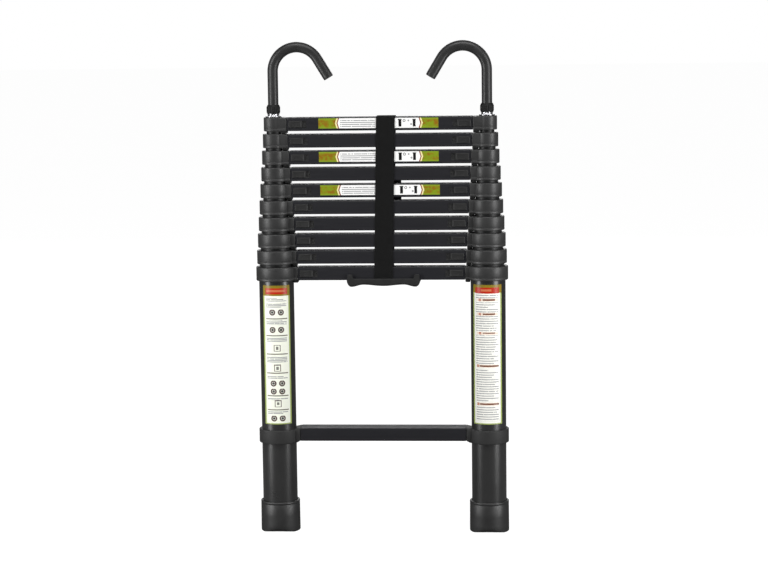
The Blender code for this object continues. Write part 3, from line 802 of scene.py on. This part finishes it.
def hook_grid(base, top):
    """Circles across the path's heading; three at each end close it with a small rounded edge."""
    x, z, heading = (
        np.concatenate([np.repeat(v[0], 3), v[1:-1], np.repeat(v[-1], 3)])
        for v in hook_path(base, top)
    )
    ends, pull = np.array([0, 0.85, 0.97]), np.array([0, 0, 0.5]) * MM
    scale = np.concatenate([ends, np.ones(len(x) - 6), ends[::-1]])[:, None]
    along = np.concatenate([pull, np.zeros(len(x) - 6), -pull[::-1]])
    angle = np.linspace(0, 2 * np.pi, 40, endpoint=False)
    across = HOOK_BAR * scale * np.cos(angle)
    return np.stack([
        (x + along * np.sin(heading))[:, None] + across * np.cos(heading)[:, None],
        HOOK_BAR * scale * np.sin(angle),
        (z + along * np.cos(heading))[:, None] - across * np.sin(heading)[:, None],
    ], axis=-1)


for word, side in SIDES.items():
    low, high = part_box(f"hook_{word}")
    bar = put(hook_grid(low[2], high[2]), side, AXIS, 0)
    make(
        f"hook_bar_{word}", [(bar, {})], dipped_vinyl, f"hook_{word}",
        [f"hook_{word}"],
    )
print("2 hooks,", round((high[2] - low[2]) / MM, 1), "mm from end to top")

# %% Sockets and nuts
THREAD_PITCH = 1.6 * MM


def thread(angle, height):
    """A helix: a wave of height less the turn, once every pitch."""
    return 0.22 * MM * (np.cos(2 * np.pi * height / THREAD_PITCH - angle) - 1)


def finger_ribs(angle, height):
    """Sixteen rounded ribs: the radius drops between them."""
    return -0.7 * MM * (0.5 - 0.5 * np.cos(16 * angle)) ** 2


def socket_profile(low, high, seat, wide):
    """Sleeve in the tube, flange on its seat from there to wide, thread above, then back down."""
    bore, sleeve, outer = 10.1 * MM, 11.7 * MM, 11.1 * MM
    root = outer - 0.8 * MM
    profile = [(bore, low), (sleeve, low), (sleeve, seat + 0.3 * MM)]
    profile += [(wide - 0.4 * MM, seat + 0.3 * MM), (wide, seat + 0.7 * MM), (wide, seat + 1.9 * MM)]
    profile += [(wide - 0.5 * MM, seat + 2.4 * MM), (root, seat + 2.4 * MM)]
    levels = np.arange(seat + 2.6 * MM, high - 0.3 * MM, THREAD_PITCH / 6)
    profile += [(outer - 0.05 * MM, level, 1) for level in levels]
    return profile + [(root, high), (bore, high)]


def nut_profile(wide, tall):
    """Shoulder, ribs between, shoulder, and a bore that is wider for the lowest 11.4 mm."""
    profile = [(11.35 * MM, 0), (wide - 1.5 * MM, 0), (wide - 0.9 * MM, 0.5 * MM)]
    profile += [(wide - 0.15 * MM, 3 * MM, 0.6), (wide, 4 * MM, 1)]
    profile += [(wide, level, 1) for level in np.linspace(5 * MM, tall - 5 * MM, 4)]
    profile += [(wide, tall - 4.2 * MM, 1), (wide - 0.3 * MM, tall - 3.4 * MM, 0.5)]
    for inset, below in ((0.9, 2.8), (1.3, 1.6), (1.7, 0.6), (2.2, 0)):
        profile.append((wide - inset * MM, tall - below * MM))
    return profile + [(10.1 * MM, tall), (10.1 * MM, 11.4 * MM), (11.35 * MM, 11.4 * MM)]


for word, side in SIDES.items():
    low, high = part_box(f"hook_socket_{word}")
    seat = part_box("stile_10_right")[1][2]
    wide = high[0] - (low[0] + high[0]) / 2
    grid = turn(socket_profile(low[2], high[2], seat, wide), 72, thread)
    make(
        f"threaded_socket_{word}", [(put(grid, side, AXIS, 0), {"wrap_rows": True})], zinc,
        "section_10", [f"hook_socket_{word}"], sharp=60,
    )
    low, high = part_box(f"hook_nut_{word}")
    tall = high[2] - low[2]
    grid = turn(nut_profile((high[0] - low[0]) / 2, tall), 128, finger_ribs)
    make(
        f"ribbed_nut_{word}", [(put(grid, side, AXIS, low[2]), {"wrap_rows": True})], knob_nylon,
        f"hook_nut_{word}", [f"hook_nut_{word}"],
    )
print("2 threaded sockets, 2 nuts", round(tall / MM, 1), "mm high")

# %% [markdown]
# ## Carry handle
# A grip clipped under the stack. Its underside is a wave of cosines that fits four fingers, its ends
# round up to small ears, and lips in front and behind hold the strap in two troughs.

# %% Carry handle
handle_low, handle_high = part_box("carry_handle")
HANDLE_X = (handle_low[0] + handle_high[0]) / 2
HANDLE_TOP = rung_boxes[2][0][2]
WAVE, PRONG, EAR = 38 * MM, 60 * MM, 8.5 * MM  # ends of the wave and prongs, length of an ear


def handle_drop(x):
    """How far the grip hangs below the rung: a cosine wave, deepest at the prongs, then an arc."""
    x = abs(x)
    middle = 8.5 * MM + 2.5 * MM * (1 + np.cos(np.pi * x / WAVE)) / 2
    prong = 8.5 * MM + 4 * MM * (1 - np.cos(np.pi * (x - WAVE) / (PRONG - WAVE))) / 2
    end = 12.5 * MM * np.sqrt(np.clip(1 - ((x - PRONG) / EAR) ** 2, 0, 1))
    return np.where(x < WAVE, middle, np.where(x < PRONG, prong, end))


def handle_grid():
    """Sections of the grip along X: down the front, under, up the back and over the troughs."""
    side = EAR * np.sin(np.linspace(0, np.pi / 2, 12)[1:])
    x = np.concatenate([-PRONG - side[::-1], np.linspace(-60, 60, 65) * MM, PRONG + side])
    drop = np.maximum(handle_drop(x), 0.35 * MM)
    half = handle_high[1]
    wall, face = half - 2.4 * MM, HALF_DEPTH + 0.3 * MM
    past = 1 - smooth(abs(x), 66.5 * MM, 68.5 * MM)
    lip = 3 * MM * past + 8 * MM * smooth(abs(x), 56.5 * MM, 58.5 * MM) * past
    floor = np.where(abs(x) < 18.6 * MM, -7.4 * MM, -0.4 * MM)
    floor = np.maximum(floor, -drop + 0.4 * MM)
    cut = np.minimum(4.5 * MM, drop * 0.6)
    rings = []
    for a in np.linspace(0, np.pi / 2, 6):
        rings.append((half - cut * (1 - np.cos(a)), -drop + cut * (1 - np.sin(a))))
    flat = [(half * share, -drop) for share in (0.5, 0.0, -0.5)]
    rings += [(np.full(len(x), y), z) for y, z in flat]
    for a in np.linspace(np.pi / 2, 0, 6):
        rings.append((-half + cut * (1 - np.cos(a)), -drop + cut * (1 - np.sin(a))))
    soft = 0.7 * MM
    back = [(-half, lip - soft), (-half + soft, lip), (-wall - soft, lip), (-wall, lip - soft)]
    back += [(-wall, floor), (-face, floor), (-face + 0.2 * MM, -0.35 * MM + 0 * x)]
    for y, z in back:
        rings.append((np.full(len(x), y), z))
    for y, z in back[::-1]:
        rings.append((np.full(len(x), -y), z))
    grid = np.stack([np.stack([x + HANDLE_X, y, HANDLE_TOP + z], axis=-1) for y, z in rings], axis=1)
    ends = grid[[0, -1]].mean(axis=1, keepdims=True).repeat(grid.shape[1], axis=1)
    return np.concatenate([ends[:1], grid, ends[1:]])


make("carry_grip", [(handle_grid(), {})], plate_nylon, "section_01", ["carry_handle"])
print("handle", round((handle_high[0] - handle_low[0]) / MM, 1), "mm long")

# %% [markdown]
# ## Strap
# Webbing is modelled as a band swept along its route, not draped: it is pulled tight, so it only dips
# a little between the rungs. Both runs lean 7 mm to one side over their height, and the ends are
# tucked into the carry grip. A ladder-lock buckle lies behind the back run at the seventh rung, on the
# same moving body as the band.

# %% Strap
strap_low, strap_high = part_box("strap")
STRAP_THICK, STRAP_WIDTH = 1.6 * MM, 35 * MM
STRAP_FACE = HALF_DEPTH + 0.3 * MM
STRAP_LEAN, STRAP_SAG = 7.4 * MM, 0.25 * MM


def strap_route(count=150):
    """Distance along, then y, z, outward y and z: up the front, over the top, down the back."""
    bend = 2.3 * MM
    top = strap_high[2] - STRAP_THICK
    rise = np.linspace(strap_low[2], top - bend, count)
    zero, one = np.zeros(count), np.ones(count)
    arc = np.linspace(0, np.pi / 2, 8)[1:]
    over = np.linspace(-STRAP_FACE + bend, STRAP_FACE - bend, 14)[1:-1]
    front = np.column_stack([-STRAP_FACE * one, rise, -one, zero])
    y, z = -STRAP_FACE + bend - bend * np.cos(arc), top - bend + bend * np.sin(arc)
    first = np.column_stack([y, z, -np.cos(arc), np.sin(arc)])
    flat = np.column_stack([over, top + 0 * over, 0 * over, 1 + 0 * over])
    last = (first * [-1, 1, -1, 1])[::-1]
    back = (front * [-1, 1, -1, 1])[::-1]
    route = np.vstack([front, first, flat, last, back])
    step = np.hypot(*np.diff(route[:, :2], axis=0).T)
    return np.concatenate([[0], np.cumsum(step)]), route


def strap_grid():
    """A closed ring of points across the band at each step: flat faces with rounded selvedges."""
    length, route = strap_route()
    low, high = strap_low[2], strap_high[2]
    share = (route[:, 1] - low) / (high - low)
    middle = HANDLE_X + STRAP_LEAN * share
    sag = STRAP_SAG * (0.5 - 0.5 * np.cos(2 * np.pi * (route[:, 1] - rung_mid[2]) / PITCH))
    sag = np.where(abs(route[:, 0]) > STRAP_FACE - 0.1 * MM, sag, 0)
    arc = np.linspace(-np.pi / 2, np.pi / 2, 7)
    half, thick = STRAP_WIDTH / 2, STRAP_THICK / 2
    flat, round_end = np.linspace(-half + thick, half - thick, 17), half - thick + thick * np.cos(arc)
    across = np.concatenate([flat, round_end])
    level = np.concatenate([np.full(17, -thick), thick * np.sin(arc)])
    across, level = np.concatenate([across, -across]), np.concatenate([level, -level])
    x = middle[:, None] + across
    off = (thick + level)[None, :] - sag[:, None]
    y, z = route[:, 0:1] + off * route[:, 2:3], route[:, 1:2] + off * route[:, 3:4]
    grid = np.stack([x, y, z], axis=-1)
    uv = [np.broadcast_to(across, x.shape), np.broadcast_to(length[:, None], x.shape)]
    uv = np.stack(uv, axis=-1) / TILE
    ends = grid[[0, -1]].mean(axis=1, keepdims=True).repeat(grid.shape[1], axis=1)
    grid = np.concatenate([ends[:1], grid, ends[1:]])
    uv = np.concatenate([uv[:1], uv, uv[-1:]])
    return grid, uv, length[-1]


grid, uv, strap_length = strap_grid()
band = make(
    "strap_webbing", [(grid, {"uv": uv})], webbing, "section_10", ["strap"]
)


def buckle():
    """Two upright rails and three bars between them, rounded boxes behind the strap's back run."""
    middle, height = HANDLE_X + 10 * MM, rung_mid[7]
    front = STRAP_FACE + STRAP_THICK
    deep = (front + 0.3 * MM, front + 4.3 * MM)
    rails = [(-23, -18.5, -27, 17), (18.5, 23, -27, 17)]
    bars = [(-20, 20, 6, 17), (-20, 20, -7, -2.5), (-20, 20, -27, -13)]
    return [
        slab((middle + a * MM, middle + b * MM), deep, (height + c * MM, height + d * MM), 0.8 * MM)
        for a, b, c, d in rails + bars
    ]


clasp = make(
    "strap_buckle", [(grid, {}) for grid in buckle()], knob_nylon, "section_10"
)
print("strap", round(strap_length / MM, 1), "mm long")

# %% [markdown]
# ## Labels
# The labels are printed vinyl. Their print is generic: grey bars where there would be text, plain
# rings and blocks where there would be pictures. Each sheet carries a UV map in real size with its
# origin at the label's middle, and the print is worked out from it: a constant colour ramp along
# the label says what is printed at each height.

# %% Label print helpers
def steps(tree, source, length, values):
    """A ramp of flat steps along source: values is (start in mm from the top, value or colour)."""
    share = add(tree, "Math", {0: source, 1: TILE / length}, operation="MULTIPLY").outputs[0]
    ramp = add(tree, "ValToRGB", {0: share})
    ramp.color_ramp.interpolation = "CONSTANT"
    points = ramp.color_ramp.elements
    points.remove(points[1])
    for i, (start_mm, value) in enumerate(values):
        point = points[0] if i == 0 else points.new(start_mm * MM / length)
        point.color = linear(value) if isinstance(value, str) else (value, value, value, 1)
    return ramp.outputs[0]


def maths(tree, operation, *values):
    """The result of one step of arithmetic on sockets or numbers."""
    return add(tree, "Math", dict(enumerate(values)), operation=operation).outputs[0]


def times(tree, first, *others):
    """The product of masks or numbers."""
    for other in others:
        first = maths(tree, "MULTIPLY", first, other)
    return first


def speckle(tree, place, scale, detail, roughness=0.5):
    """Noise from about 0.2 to 0.8 at place, its patches 1 / scale across."""
    inputs = {"Vector": place, "Scale": scale, "Detail": detail, "Roughness": roughness}
    return add(tree, "TexNoise", inputs).outputs[0]


def distance(tree, a, b):
    """The root of a^2 + b^2."""
    squares = [maths(tree, "POWER", part, 2.0) for part in (a, b)]
    return maths(tree, "SQRT", maths(tree, "ADD", *squares))


def band_mask(tree, source, middle, half):
    """1 where source is within half of middle, both in mm of the UV map."""
    return maths(tree, "COMPARE", source, middle * MM / TILE, half * MM / TILE)


def blend(tree, mask, under, over):
    """The colour over where mask is 1, else under."""
    over = linear(over) if isinstance(over, str) else over
    under = linear(under) if isinstance(under, str) else under
    return add(tree, "Mix", {0: mask, 6: under, 7: over}, data_type="RGBA").outputs[2]


def label_start(name):
    """A vinyl label: satin film over the print, with its UV map split into across and along."""
    made, tree, shader = start(
        name, IOR=1.46, Roughness=0.38, Specular_IOR_Level=0.35, Coat_Weight=0.1
    )
    uv = add(tree, "SeparateXYZ", {0: add(tree, "UVMap", uv_map="UVMap").outputs[0]})
    return made, tree, shader, uv.outputs["X"], uv.outputs["Y"]


def text_lines(tree, across, along, spacing, thick, left, right):
    """Grey bars every spacing mm, broken into words by a noise that is stretched across them."""
    row = maths(tree, "WRAP", along, spacing * MM / TILE, 0.0)
    bar = maths(tree, "COMPARE", row, spacing / 2 * MM / TILE, thick / 2 * MM / TILE)
    number = maths(tree, "SNAP", along, spacing * MM / TILE)
    place = add(tree, "CombineXYZ", {0: across, 1: times(tree, number, 37.0)}).outputs[0]
    words = speckle(tree, place, TILE / (3.2 * MM), 1)
    words = maths(tree, "GREATER_THAN", words, 0.33)
    start_at = add(tree, "CombineXYZ", {1: times(tree, number, 53.0)}).outputs[0]
    share = speckle(tree, start_at, TILE / (2 * MM), 0)
    shortest = (left + 0.55 * (right - left)) * MM / TILE
    limit = add(tree, "MapRange", {0: share, 1: 0.3, 2: 0.5, 3: shortest, 4: right * MM / TILE})
    after = maths(tree, "GREATER_THAN", across, left * MM / TILE)
    before = maths(tree, "LESS_THAN", across, limit.outputs[0])
    return times(tree, times(tree, bar, words), times(tree, after, before))


print("print helpers ready")

# %% [markdown]
# ### Rung labels
# A green block at each end, a red and cream arrowhead edge beside it, and a white field between.

# %% Rung labels
LABEL_FILM, LABEL_OUT = 0.12 * MM, 0.16 * MM  # the film's thickness and how far out its face is
rung_print, tree, shader, across, along = label_start("printed_vinyl_rung")
away = maths(tree, "ABSOLUTE", maths(tree, "SUBTRACT", across, 1 * MM / TILE))
point = times(tree, maths(tree, "ABSOLUTE", along), 0.32)
shifted = maths(tree, "ADD", away, point)
place = add(tree, "TexCoord").outputs["Object"]
blotch = speckle(tree, place, 1 / (7 * MM), 4, 0.65)
spots = add(tree, "MapRange", {0: blotch, 1: 0.42, 2: 0.6}).outputs[0]
green = blend(tree, spots, "#7B8F18", "#896212")
fresh = add(tree, "MapRange", {0: maths(tree, "ABSOLUTE", along), 1: 0.05, 2: 0.09}).outputs[0]
green = blend(tree, fresh, green, "#7F9924")
text = text_lines(tree, across, maths(tree, "ADD", along, 0.003), 3.6, 1.5, -71, -6)
rows = band_mask(tree, along, -0.3, 7.4)
field = blend(tree, times(tree, text, rows, 0.8), "#F4F4F2", "#50505A")
for middle, thinner in ((40, 0.0), (66.4, 0.1)):  # two upright blocks, each a stem and a cap
    for half, tall, lift in ((2.7, 7.1, 0.1), (3.6, 0.8, 6.4)):
        block = band_mask(tree, across, middle, half - thinner)
        block = times(tree, block, band_mask(tree, along, lift, tall))
        field = blend(tree, block, field, "#141214")
for middle, rise, radius, ring in ((47.8, 4.2, 2.7, 1), (55.6, 4.2, 1.6, 0), (60.8, -2.4, 1.8, 0)):
    reach = distance(
        tree, maths(tree, "SUBTRACT", across, middle * MM / TILE),
        maths(tree, "SUBTRACT", along, rise * MM / TILE),
    )
    inner, thick = (radius * 0.75 * MM / TILE, radius * 0.3) if ring else (0.0, radius * 1)
    disc = maths(tree, "COMPARE", reach, inner, thick * MM / TILE)
    field = blend(tree, times(tree, disc, 0.75), field, "#55555C")
for edge, ink in ((76.6, "#7E2A20"), (78.6, "#E9DEA4"), (81.4, green)):  # red, cream, then green
    field = blend(tree, maths(tree, "GREATER_THAN", shifted, edge * MM / TILE), field, ink)
tree.links.new(field, shader.inputs["Base Color"])


def flat_label(number, offset):
    """A flat sheet on the rung's front, its UV in real size from the label's middle."""
    half_long, half_tall = 111.2 * MM, 9.3 * MM
    long, tall = np.linspace(-half_long, half_long, 60), np.linspace(-half_tall, half_tall, 5)
    u, v = np.meshgrid(long, tall)
    middle = rung_mid[number] + 1.4 * MM
    grid = np.stack([u + offset, np.full_like(u, -HALF_DEPTH - LABEL_OUT), v + middle], axis=-1)
    return grid, {"wrap_columns": False, "uv": np.stack([u, v], axis=-1) / TILE}


for number, offset in ((11, -2.0), (9, -2.0), (7, -0.4)):
    make(
        f"rung_label_{number:02d}", [flat_label(number, offset * MM)], rung_print,
        f"section_{number - 1:02d}", wall=LABEL_FILM,
        inside=(0, 0, rung_mid[number]),
    )
print("3 rung labels")

# %% [markdown]
# ### Stile labels
# Tall labels wrapped round the front of the lowest tubes: a gold frame, a red block at the head, and
# below it groups of grey bars with plain rings and boxes between them.

# %% Stile label materials
LABEL_TOP, LABEL_BOTTOM = 471.5 * MM, 208.5 * MM
LABEL_LENGTH = LABEL_TOP - LABEL_BOTTOM
# Half width and half of the paper in mm, and the turn round the tube in radians.
WIDTHS = {-1: (27.8, 24.4, 0.08), 1: (30.2, 26.8, -0.05)}


def ring_pairs(tree, across, along, centres, spread, radius, thick):
    """Rings and dots at these distances down the label, spread mm either side of its middle."""
    values = [(0, 0.0)]
    for centre in centres:
        values += [(centre - radius * 1.3, centre * MM / LABEL_LENGTH), (centre + radius * 1.3, 0.0)]
    centre = steps(tree, along, LABEL_LENGTH, values)
    down = maths(tree, "SUBTRACT", along, times(tree, centre, LABEL_LENGTH / TILE))
    out = maths(tree, "SUBTRACT", maths(tree, "ABSOLUTE", across), spread * MM / TILE)
    reach = distance(tree, down, out)
    used = maths(tree, "GREATER_THAN", centre, 0.001)
    rim = maths(tree, "COMPARE", reach, radius * MM / TILE, thick * MM / TILE)
    dot = maths(tree, "LESS_THAN", reach, radius * 0.55 * MM / TILE)
    return times(tree, rim, used), times(tree, dot, used)


def spans(tree, along, marks, before, after, value=1.0):
    """The value from before to after mm round each mark down the label, and 0 elsewhere."""
    values = [(0, 0.0)]
    for mark in marks:
        values += [(mark - before, value), (mark + after, 0.0)]
    return steps(tree, along, LABEL_LENGTH, values)


def stile_label(name, paper, side, text_blocks, dividers, rings, boxes, short_titles, long_titles):
    """A tall label: gold frame, red head, then print at these distances down it in mm."""
    made, tree, shader, across, along = label_start(name)
    half_paper = WIDTHS[side][1]
    spacing = 2.8 if rings else 4.4
    lines = text_lines(tree, across, along, spacing, 1.5, 4 - half_paper, half_paper - 5)
    values = [(0, 0.0)]
    for low, high in text_blocks:
        values += [(low, 0.92), (high, 0.0)]
    shown = times(tree, lines, steps(tree, along, LABEL_LENGTH, values))
    field = blend(tree, shown, paper, "#84848C")
    if dividers:
        rule = spans(tree, along, dividers, 0.9, 0.9, 0.9)
        rule = times(tree, rule, band_mask(tree, across, 0, 21))
        field = blend(tree, rule, field, "#4E4A30")
    if rings:
        rim, dot = ring_pairs(tree, across, along, rings, 8.2, 4.5, 1.35)
        field = blend(tree, times(tree, dot, 0.95), field, "#161214")
        field = blend(tree, times(tree, rim, 0.95), field, "#3A1210")
    if boxes:
        values = [(0, 0.0)]
        for middle in boxes:
            values += [(middle - 6.6, 1.0), (middle - 5.1, 0.3), (middle - 3, 0.7)]
            values += [(middle + 3, 0.3), (middle + 5.1, 1.0), (middle + 6.6, 0.0)]
        kind = steps(tree, along, LABEL_LENGTH, values)
        sides = maths(tree, "ABSOLUTE", across)
        sides = maths(tree, "COMPARE", sides, 5.7 * MM / TILE, 0.8 * MM / TILE)
        sides = times(tree, sides, maths(tree, "GREATER_THAN", kind, 0.1))
        caps = times(tree, band_mask(tree, across, 0, 6.5), maths(tree, "GREATER_THAN", kind, 0.9))
        frame_mask = maths(tree, "MAXIMUM", sides, caps)
        core = times(tree, band_mask(tree, across, 0, 2.4), maths(tree, "GREATER_THAN", kind, 0.6))
        field = blend(tree, times(tree, frame_mask, 0.85), field, "#4A2624")
        field = blend(tree, times(tree, core, 0.8), field, "#3A3232")
    title_kinds = ((short_titles, 3.7, 11.7, -14), (long_titles, 3.8, 18.8, -18.5))
    for titles, middle, half, mark in title_kinds:
        if not titles:
            continue
        wide, slim = (spans(tree, along, titles, reach, reach) for reach in (2.6, 1.3))
        halo = times(tree, wide, band_mask(tree, across, 0, 21))
        near = times(tree, wide, band_mask(tree, across, mark, 2.5))
        bar = times(tree, slim, band_mask(tree, across, middle, half))
        field = blend(tree, times(tree, halo, 0.4), field, "#F0B890")
        field = blend(tree, times(tree, near, 0.8), field, "#B0562C")
        field = blend(tree, times(tree, bar, 0.95), field, "#6A3412")
    gold = speckle(tree, add(tree, "TexCoord").outputs["Object"], 1 / (9 * MM), 3)
    gold = blend(tree, gold, "#7C781B", "#9C7822")
    head = steps(tree, along, LABEL_LENGTH, [(0, 1.0), (18.5 if rings else 15, 0.0)])
    rim = maths(tree, "GREATER_THAN", maths(tree, "ABSOLUTE", across), half_paper * MM / TILE)
    foot_rim = steps(tree, along, LABEL_LENGTH, [(0, 0.0), (LABEL_LENGTH / MM - 2.4, 1.0)])
    edge = blend(tree, head, "#A4B468", gold)
    frame_part = maths(tree, "MAXIMUM", maths(tree, "MAXIMUM", head, rim), foot_rim)
    field = blend(tree, frame_part, field, edge)
    red = steps(tree, along, LABEL_LENGTH, [(0, 0.0), (4.3, 1.0), (15.6, 0.0)])
    red = times(tree, red, band_mask(tree, across, 0, half_paper - 2.6))
    field = blend(tree, red, field, "#B8260A")
    pale = steps(tree, along, LABEL_LENGTH, [(0, 0.0), (7.4, 1.0), (12.0, 0.0)])
    pale = times(tree, pale, band_mask(tree, across, -1.5, 18 if rings else 10))
    field = blend(tree, times(tree, pale, 0.45), field, "#E0A070")
    tree.links.new(field, shader.inputs["Base Color"])
    return made


left_print = stile_label(
    "printed_vinyl_left", "#F8FAEC", -1,
    [(23, 29), (32, 41), (65, 73), (98, 105), (133, 145), (170, 175), (212, 216), (238, 243)],
    [61.8, 94, 129, 165, 208, 234.5], [50.5, 83.5, 185, 200.2, 251.7], [117.6, 155.5, 223], [], [],
)
right_print = stile_label(
    "printed_vinyl_right", "#F8F8F0", 1,
    [(18, 26), (32, 51), (58, 86), (94, 148), (157, 220), (228, 256)],
    [], [], [], [28, 54.3, 90], [152, 224],
)
print("made", left_print.name, right_print.name)

# %% Stile labels
def wrapped_label(half_width, turned):
    """A sheet on the tube's front: arc length across, distance down from the top as its UV."""
    radius = tube_radius[1] + LABEL_OUT
    wide = np.linspace(-half_width, half_width, 41) * MM
    u, v = np.meshgrid(wide, np.linspace(0, LABEL_LENGTH, 40))
    angle = u / radius + turned
    grid = np.stack([radius * np.sin(angle), -radius * np.cos(angle), LABEL_TOP - v], axis=-1)
    return grid, np.stack([u, v], axis=-1) / TILE


for word, side in SIDES.items():
    half_width, _, turned = WIDTHS[side]
    grid, uv = wrapped_label(half_width, turned)
    grid = grid + np.array([side * AXIS, 0, 0])
    make(
        f"stile_label_{word}", [(grid, {"wrap_columns": False, "uv": uv})],
        left_print if side < 0 else right_print, "section_01",
        wall=LABEL_FILM, inside=(side * AXIS, 0, LABEL_TOP - LABEL_LENGTH / 2),
    )
print("2 stile labels,", round(LABEL_LENGTH / MM), "mm long")

# %% [markdown]
# ## Rivets
# Two low domed rivets hold the first rung to its clamps' spigots.

# %% Rivets
RIVET_RADIUS, RIVET_PLACE = 3.4 * MM, 138.2 * MM
for word, side in SIDES.items():
    brim = -0.35 * MM
    profile = [(0, -0.6 * MM), (RIVET_RADIUS, -0.6 * MM), (RIVET_RADIUS, brim)]
    for a in np.linspace(0.2, np.pi / 2, 6):
        profile.append((RIVET_RADIUS * math.cos(a), brim + 0.3 * MM * math.sin(a)))
    x = AXIS - RIVET_PLACE
    head = put(turn(profile, 24), side, AXIS - x, rung_boxes[1][1][2] - 0.05 * MM)
    make(f"rung_rivet_{word}", [(head, {})], rivet_steel, "section_01")
print("2 rivets")

# %% [markdown]
# ## Floor, light and camera
# A pale floor that runs out of sight, an even white surround, two tall soft lights in front of the
# ladder, one panel above and one behind. The upright reflections make the tubes look round. The floor
# and the surround are only staging, and they are brighter to the camera's own rays than to the rays
# that light the ladder: a Light Path node in the floor's material and in the world does that, so a
# white ground doesn't wash out black parts. No material of the ladder has such a node. The four lights
# are hidden from the camera, but they still show in reflections.

# %% Floor
FLOOR_GLOW = 0.96  # how bright the floor is to the camera's rays
floor_paint, tree, shader = start("matt_white_floor", Specular_IOR_Level=0.0)
mottle(tree, shader, "#767676", "#7f7f7f", 0.8, (0.9, 0.95))
seen = add(tree, "LightPath").outputs["Is Camera Ray"]
tree.links.new(times(tree, seen, FLOOR_GLOW), shader.inputs["Emission Strength"])
shader.inputs["Emission Color"].default_value = (1, 1, 1, 1)
u, v = np.meshgrid(np.linspace(-8, 8, 9), np.linspace(-6, 30, 9))
mesh = bpy.data.meshes.new("floor")
ground = np.stack([u, v, 0 * u - 0.2 * MM], axis=-1).reshape(-1, 3)
cells = quads(9, 9, 0, wrap_columns=False).reshape(-1, 4)
mesh.from_pydata(ground.tolist(), [], cells.tolist())
mesh.materials.append(floor_paint)
floor = bpy.data.objects.new("floor", mesh)
bpy.context.scene.collection.objects.link(floor)
floor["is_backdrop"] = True
print("floor 16 m wide")

# %% Lights
ROOM_LIGHT = 0.124  # the surround's strength for all other rays
surround = bpy.data.worlds.new("white_surround")
surround.use_nodes = True
tree = surround.node_tree
sky = tree.nodes["Background"]
sky.inputs["Color"].default_value = (1, 1, 1, 1)
seen = add(tree, "LightPath").outputs["Is Camera Ray"]
strength = add(tree, "MapRange", {0: seen, 1: 0.0, 2: 1.0, 3: ROOM_LIGHT, 4: 1.0}).outputs[0]
tree.links.new(strength, sky.inputs["Strength"])
bpy.context.scene.world = surround


def soft_light(name, place, target, size, power):
    """A rectangle of light at place that faces target."""
    lamp = bpy.data.lights.new(name, "AREA")
    lamp.shape, lamp.size, lamp.size_y, lamp.energy = "RECTANGLE", size[0], size[1], power
    made = bpy.data.objects.new(name, lamp)
    aim = (Vector(target) - Vector(place)).to_track_quat("-Z", "Y")
    made.matrix_world = Matrix.Translation(place) @ aim.to_matrix().to_4x4()
    made.visible_camera = False
    bpy.context.scene.collection.objects.link(made)
    return made


for word, side in SIDES.items():
    soft_light(f"{word}_strip", (side * 1.15, -0.68, 0.72), (0, 0, 0.72), (0.42, 1.5), 16.2)
soft_light("key_panel", (0.1, -1.6, 4.0), (0, 0, 0.5), (3.2, 1.4), 93)
soft_light("rear_panel", (0, 4.6, 1.9), (0, 0, 0.4), (3.0, 0.8), 36)
bpy.context.scene.view_settings.view_transform = "Standard"
print("4 lights")

# %% Camera
yaw, pitch, roll = math.radians(-3.98), math.radians(7.45), math.radians(-0.71)
ahead = Vector((math.sin(yaw) * math.cos(pitch), math.cos(yaw) * math.cos(pitch), -math.sin(pitch)))
right = Vector((math.cos(yaw), -math.sin(yaw), 0))
up = right.cross(ahead)
tilted_right = right * math.cos(roll) + up * math.sin(roll)
tilted_up = up * math.cos(roll) - right * math.sin(roll)
lens = bpy.data.cameras.new("camera")
lens.sensor_width, lens.lens, lens.clip_end = 36, 102.76, 100
camera = bpy.data.objects.new("camera", lens)
turned = Matrix((tilted_right, tilted_up, -ahead)).transposed().to_4x4()
camera.matrix_world = Matrix.Translation((0.2863, -4.0623, 0.9947)) @ turned
bpy.context.scene.collection.objects.link(camera)
bpy.context.scene.camera = camera
print("camera 4.07 m from the ladder")

# %% [markdown]
# ## Size
# The visual model's box, without the floor, is worked out and printed.

# %% Print the visual model's size
low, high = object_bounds()
print("visual model", [round(v / MM, 1) for v in high - low], "mm")
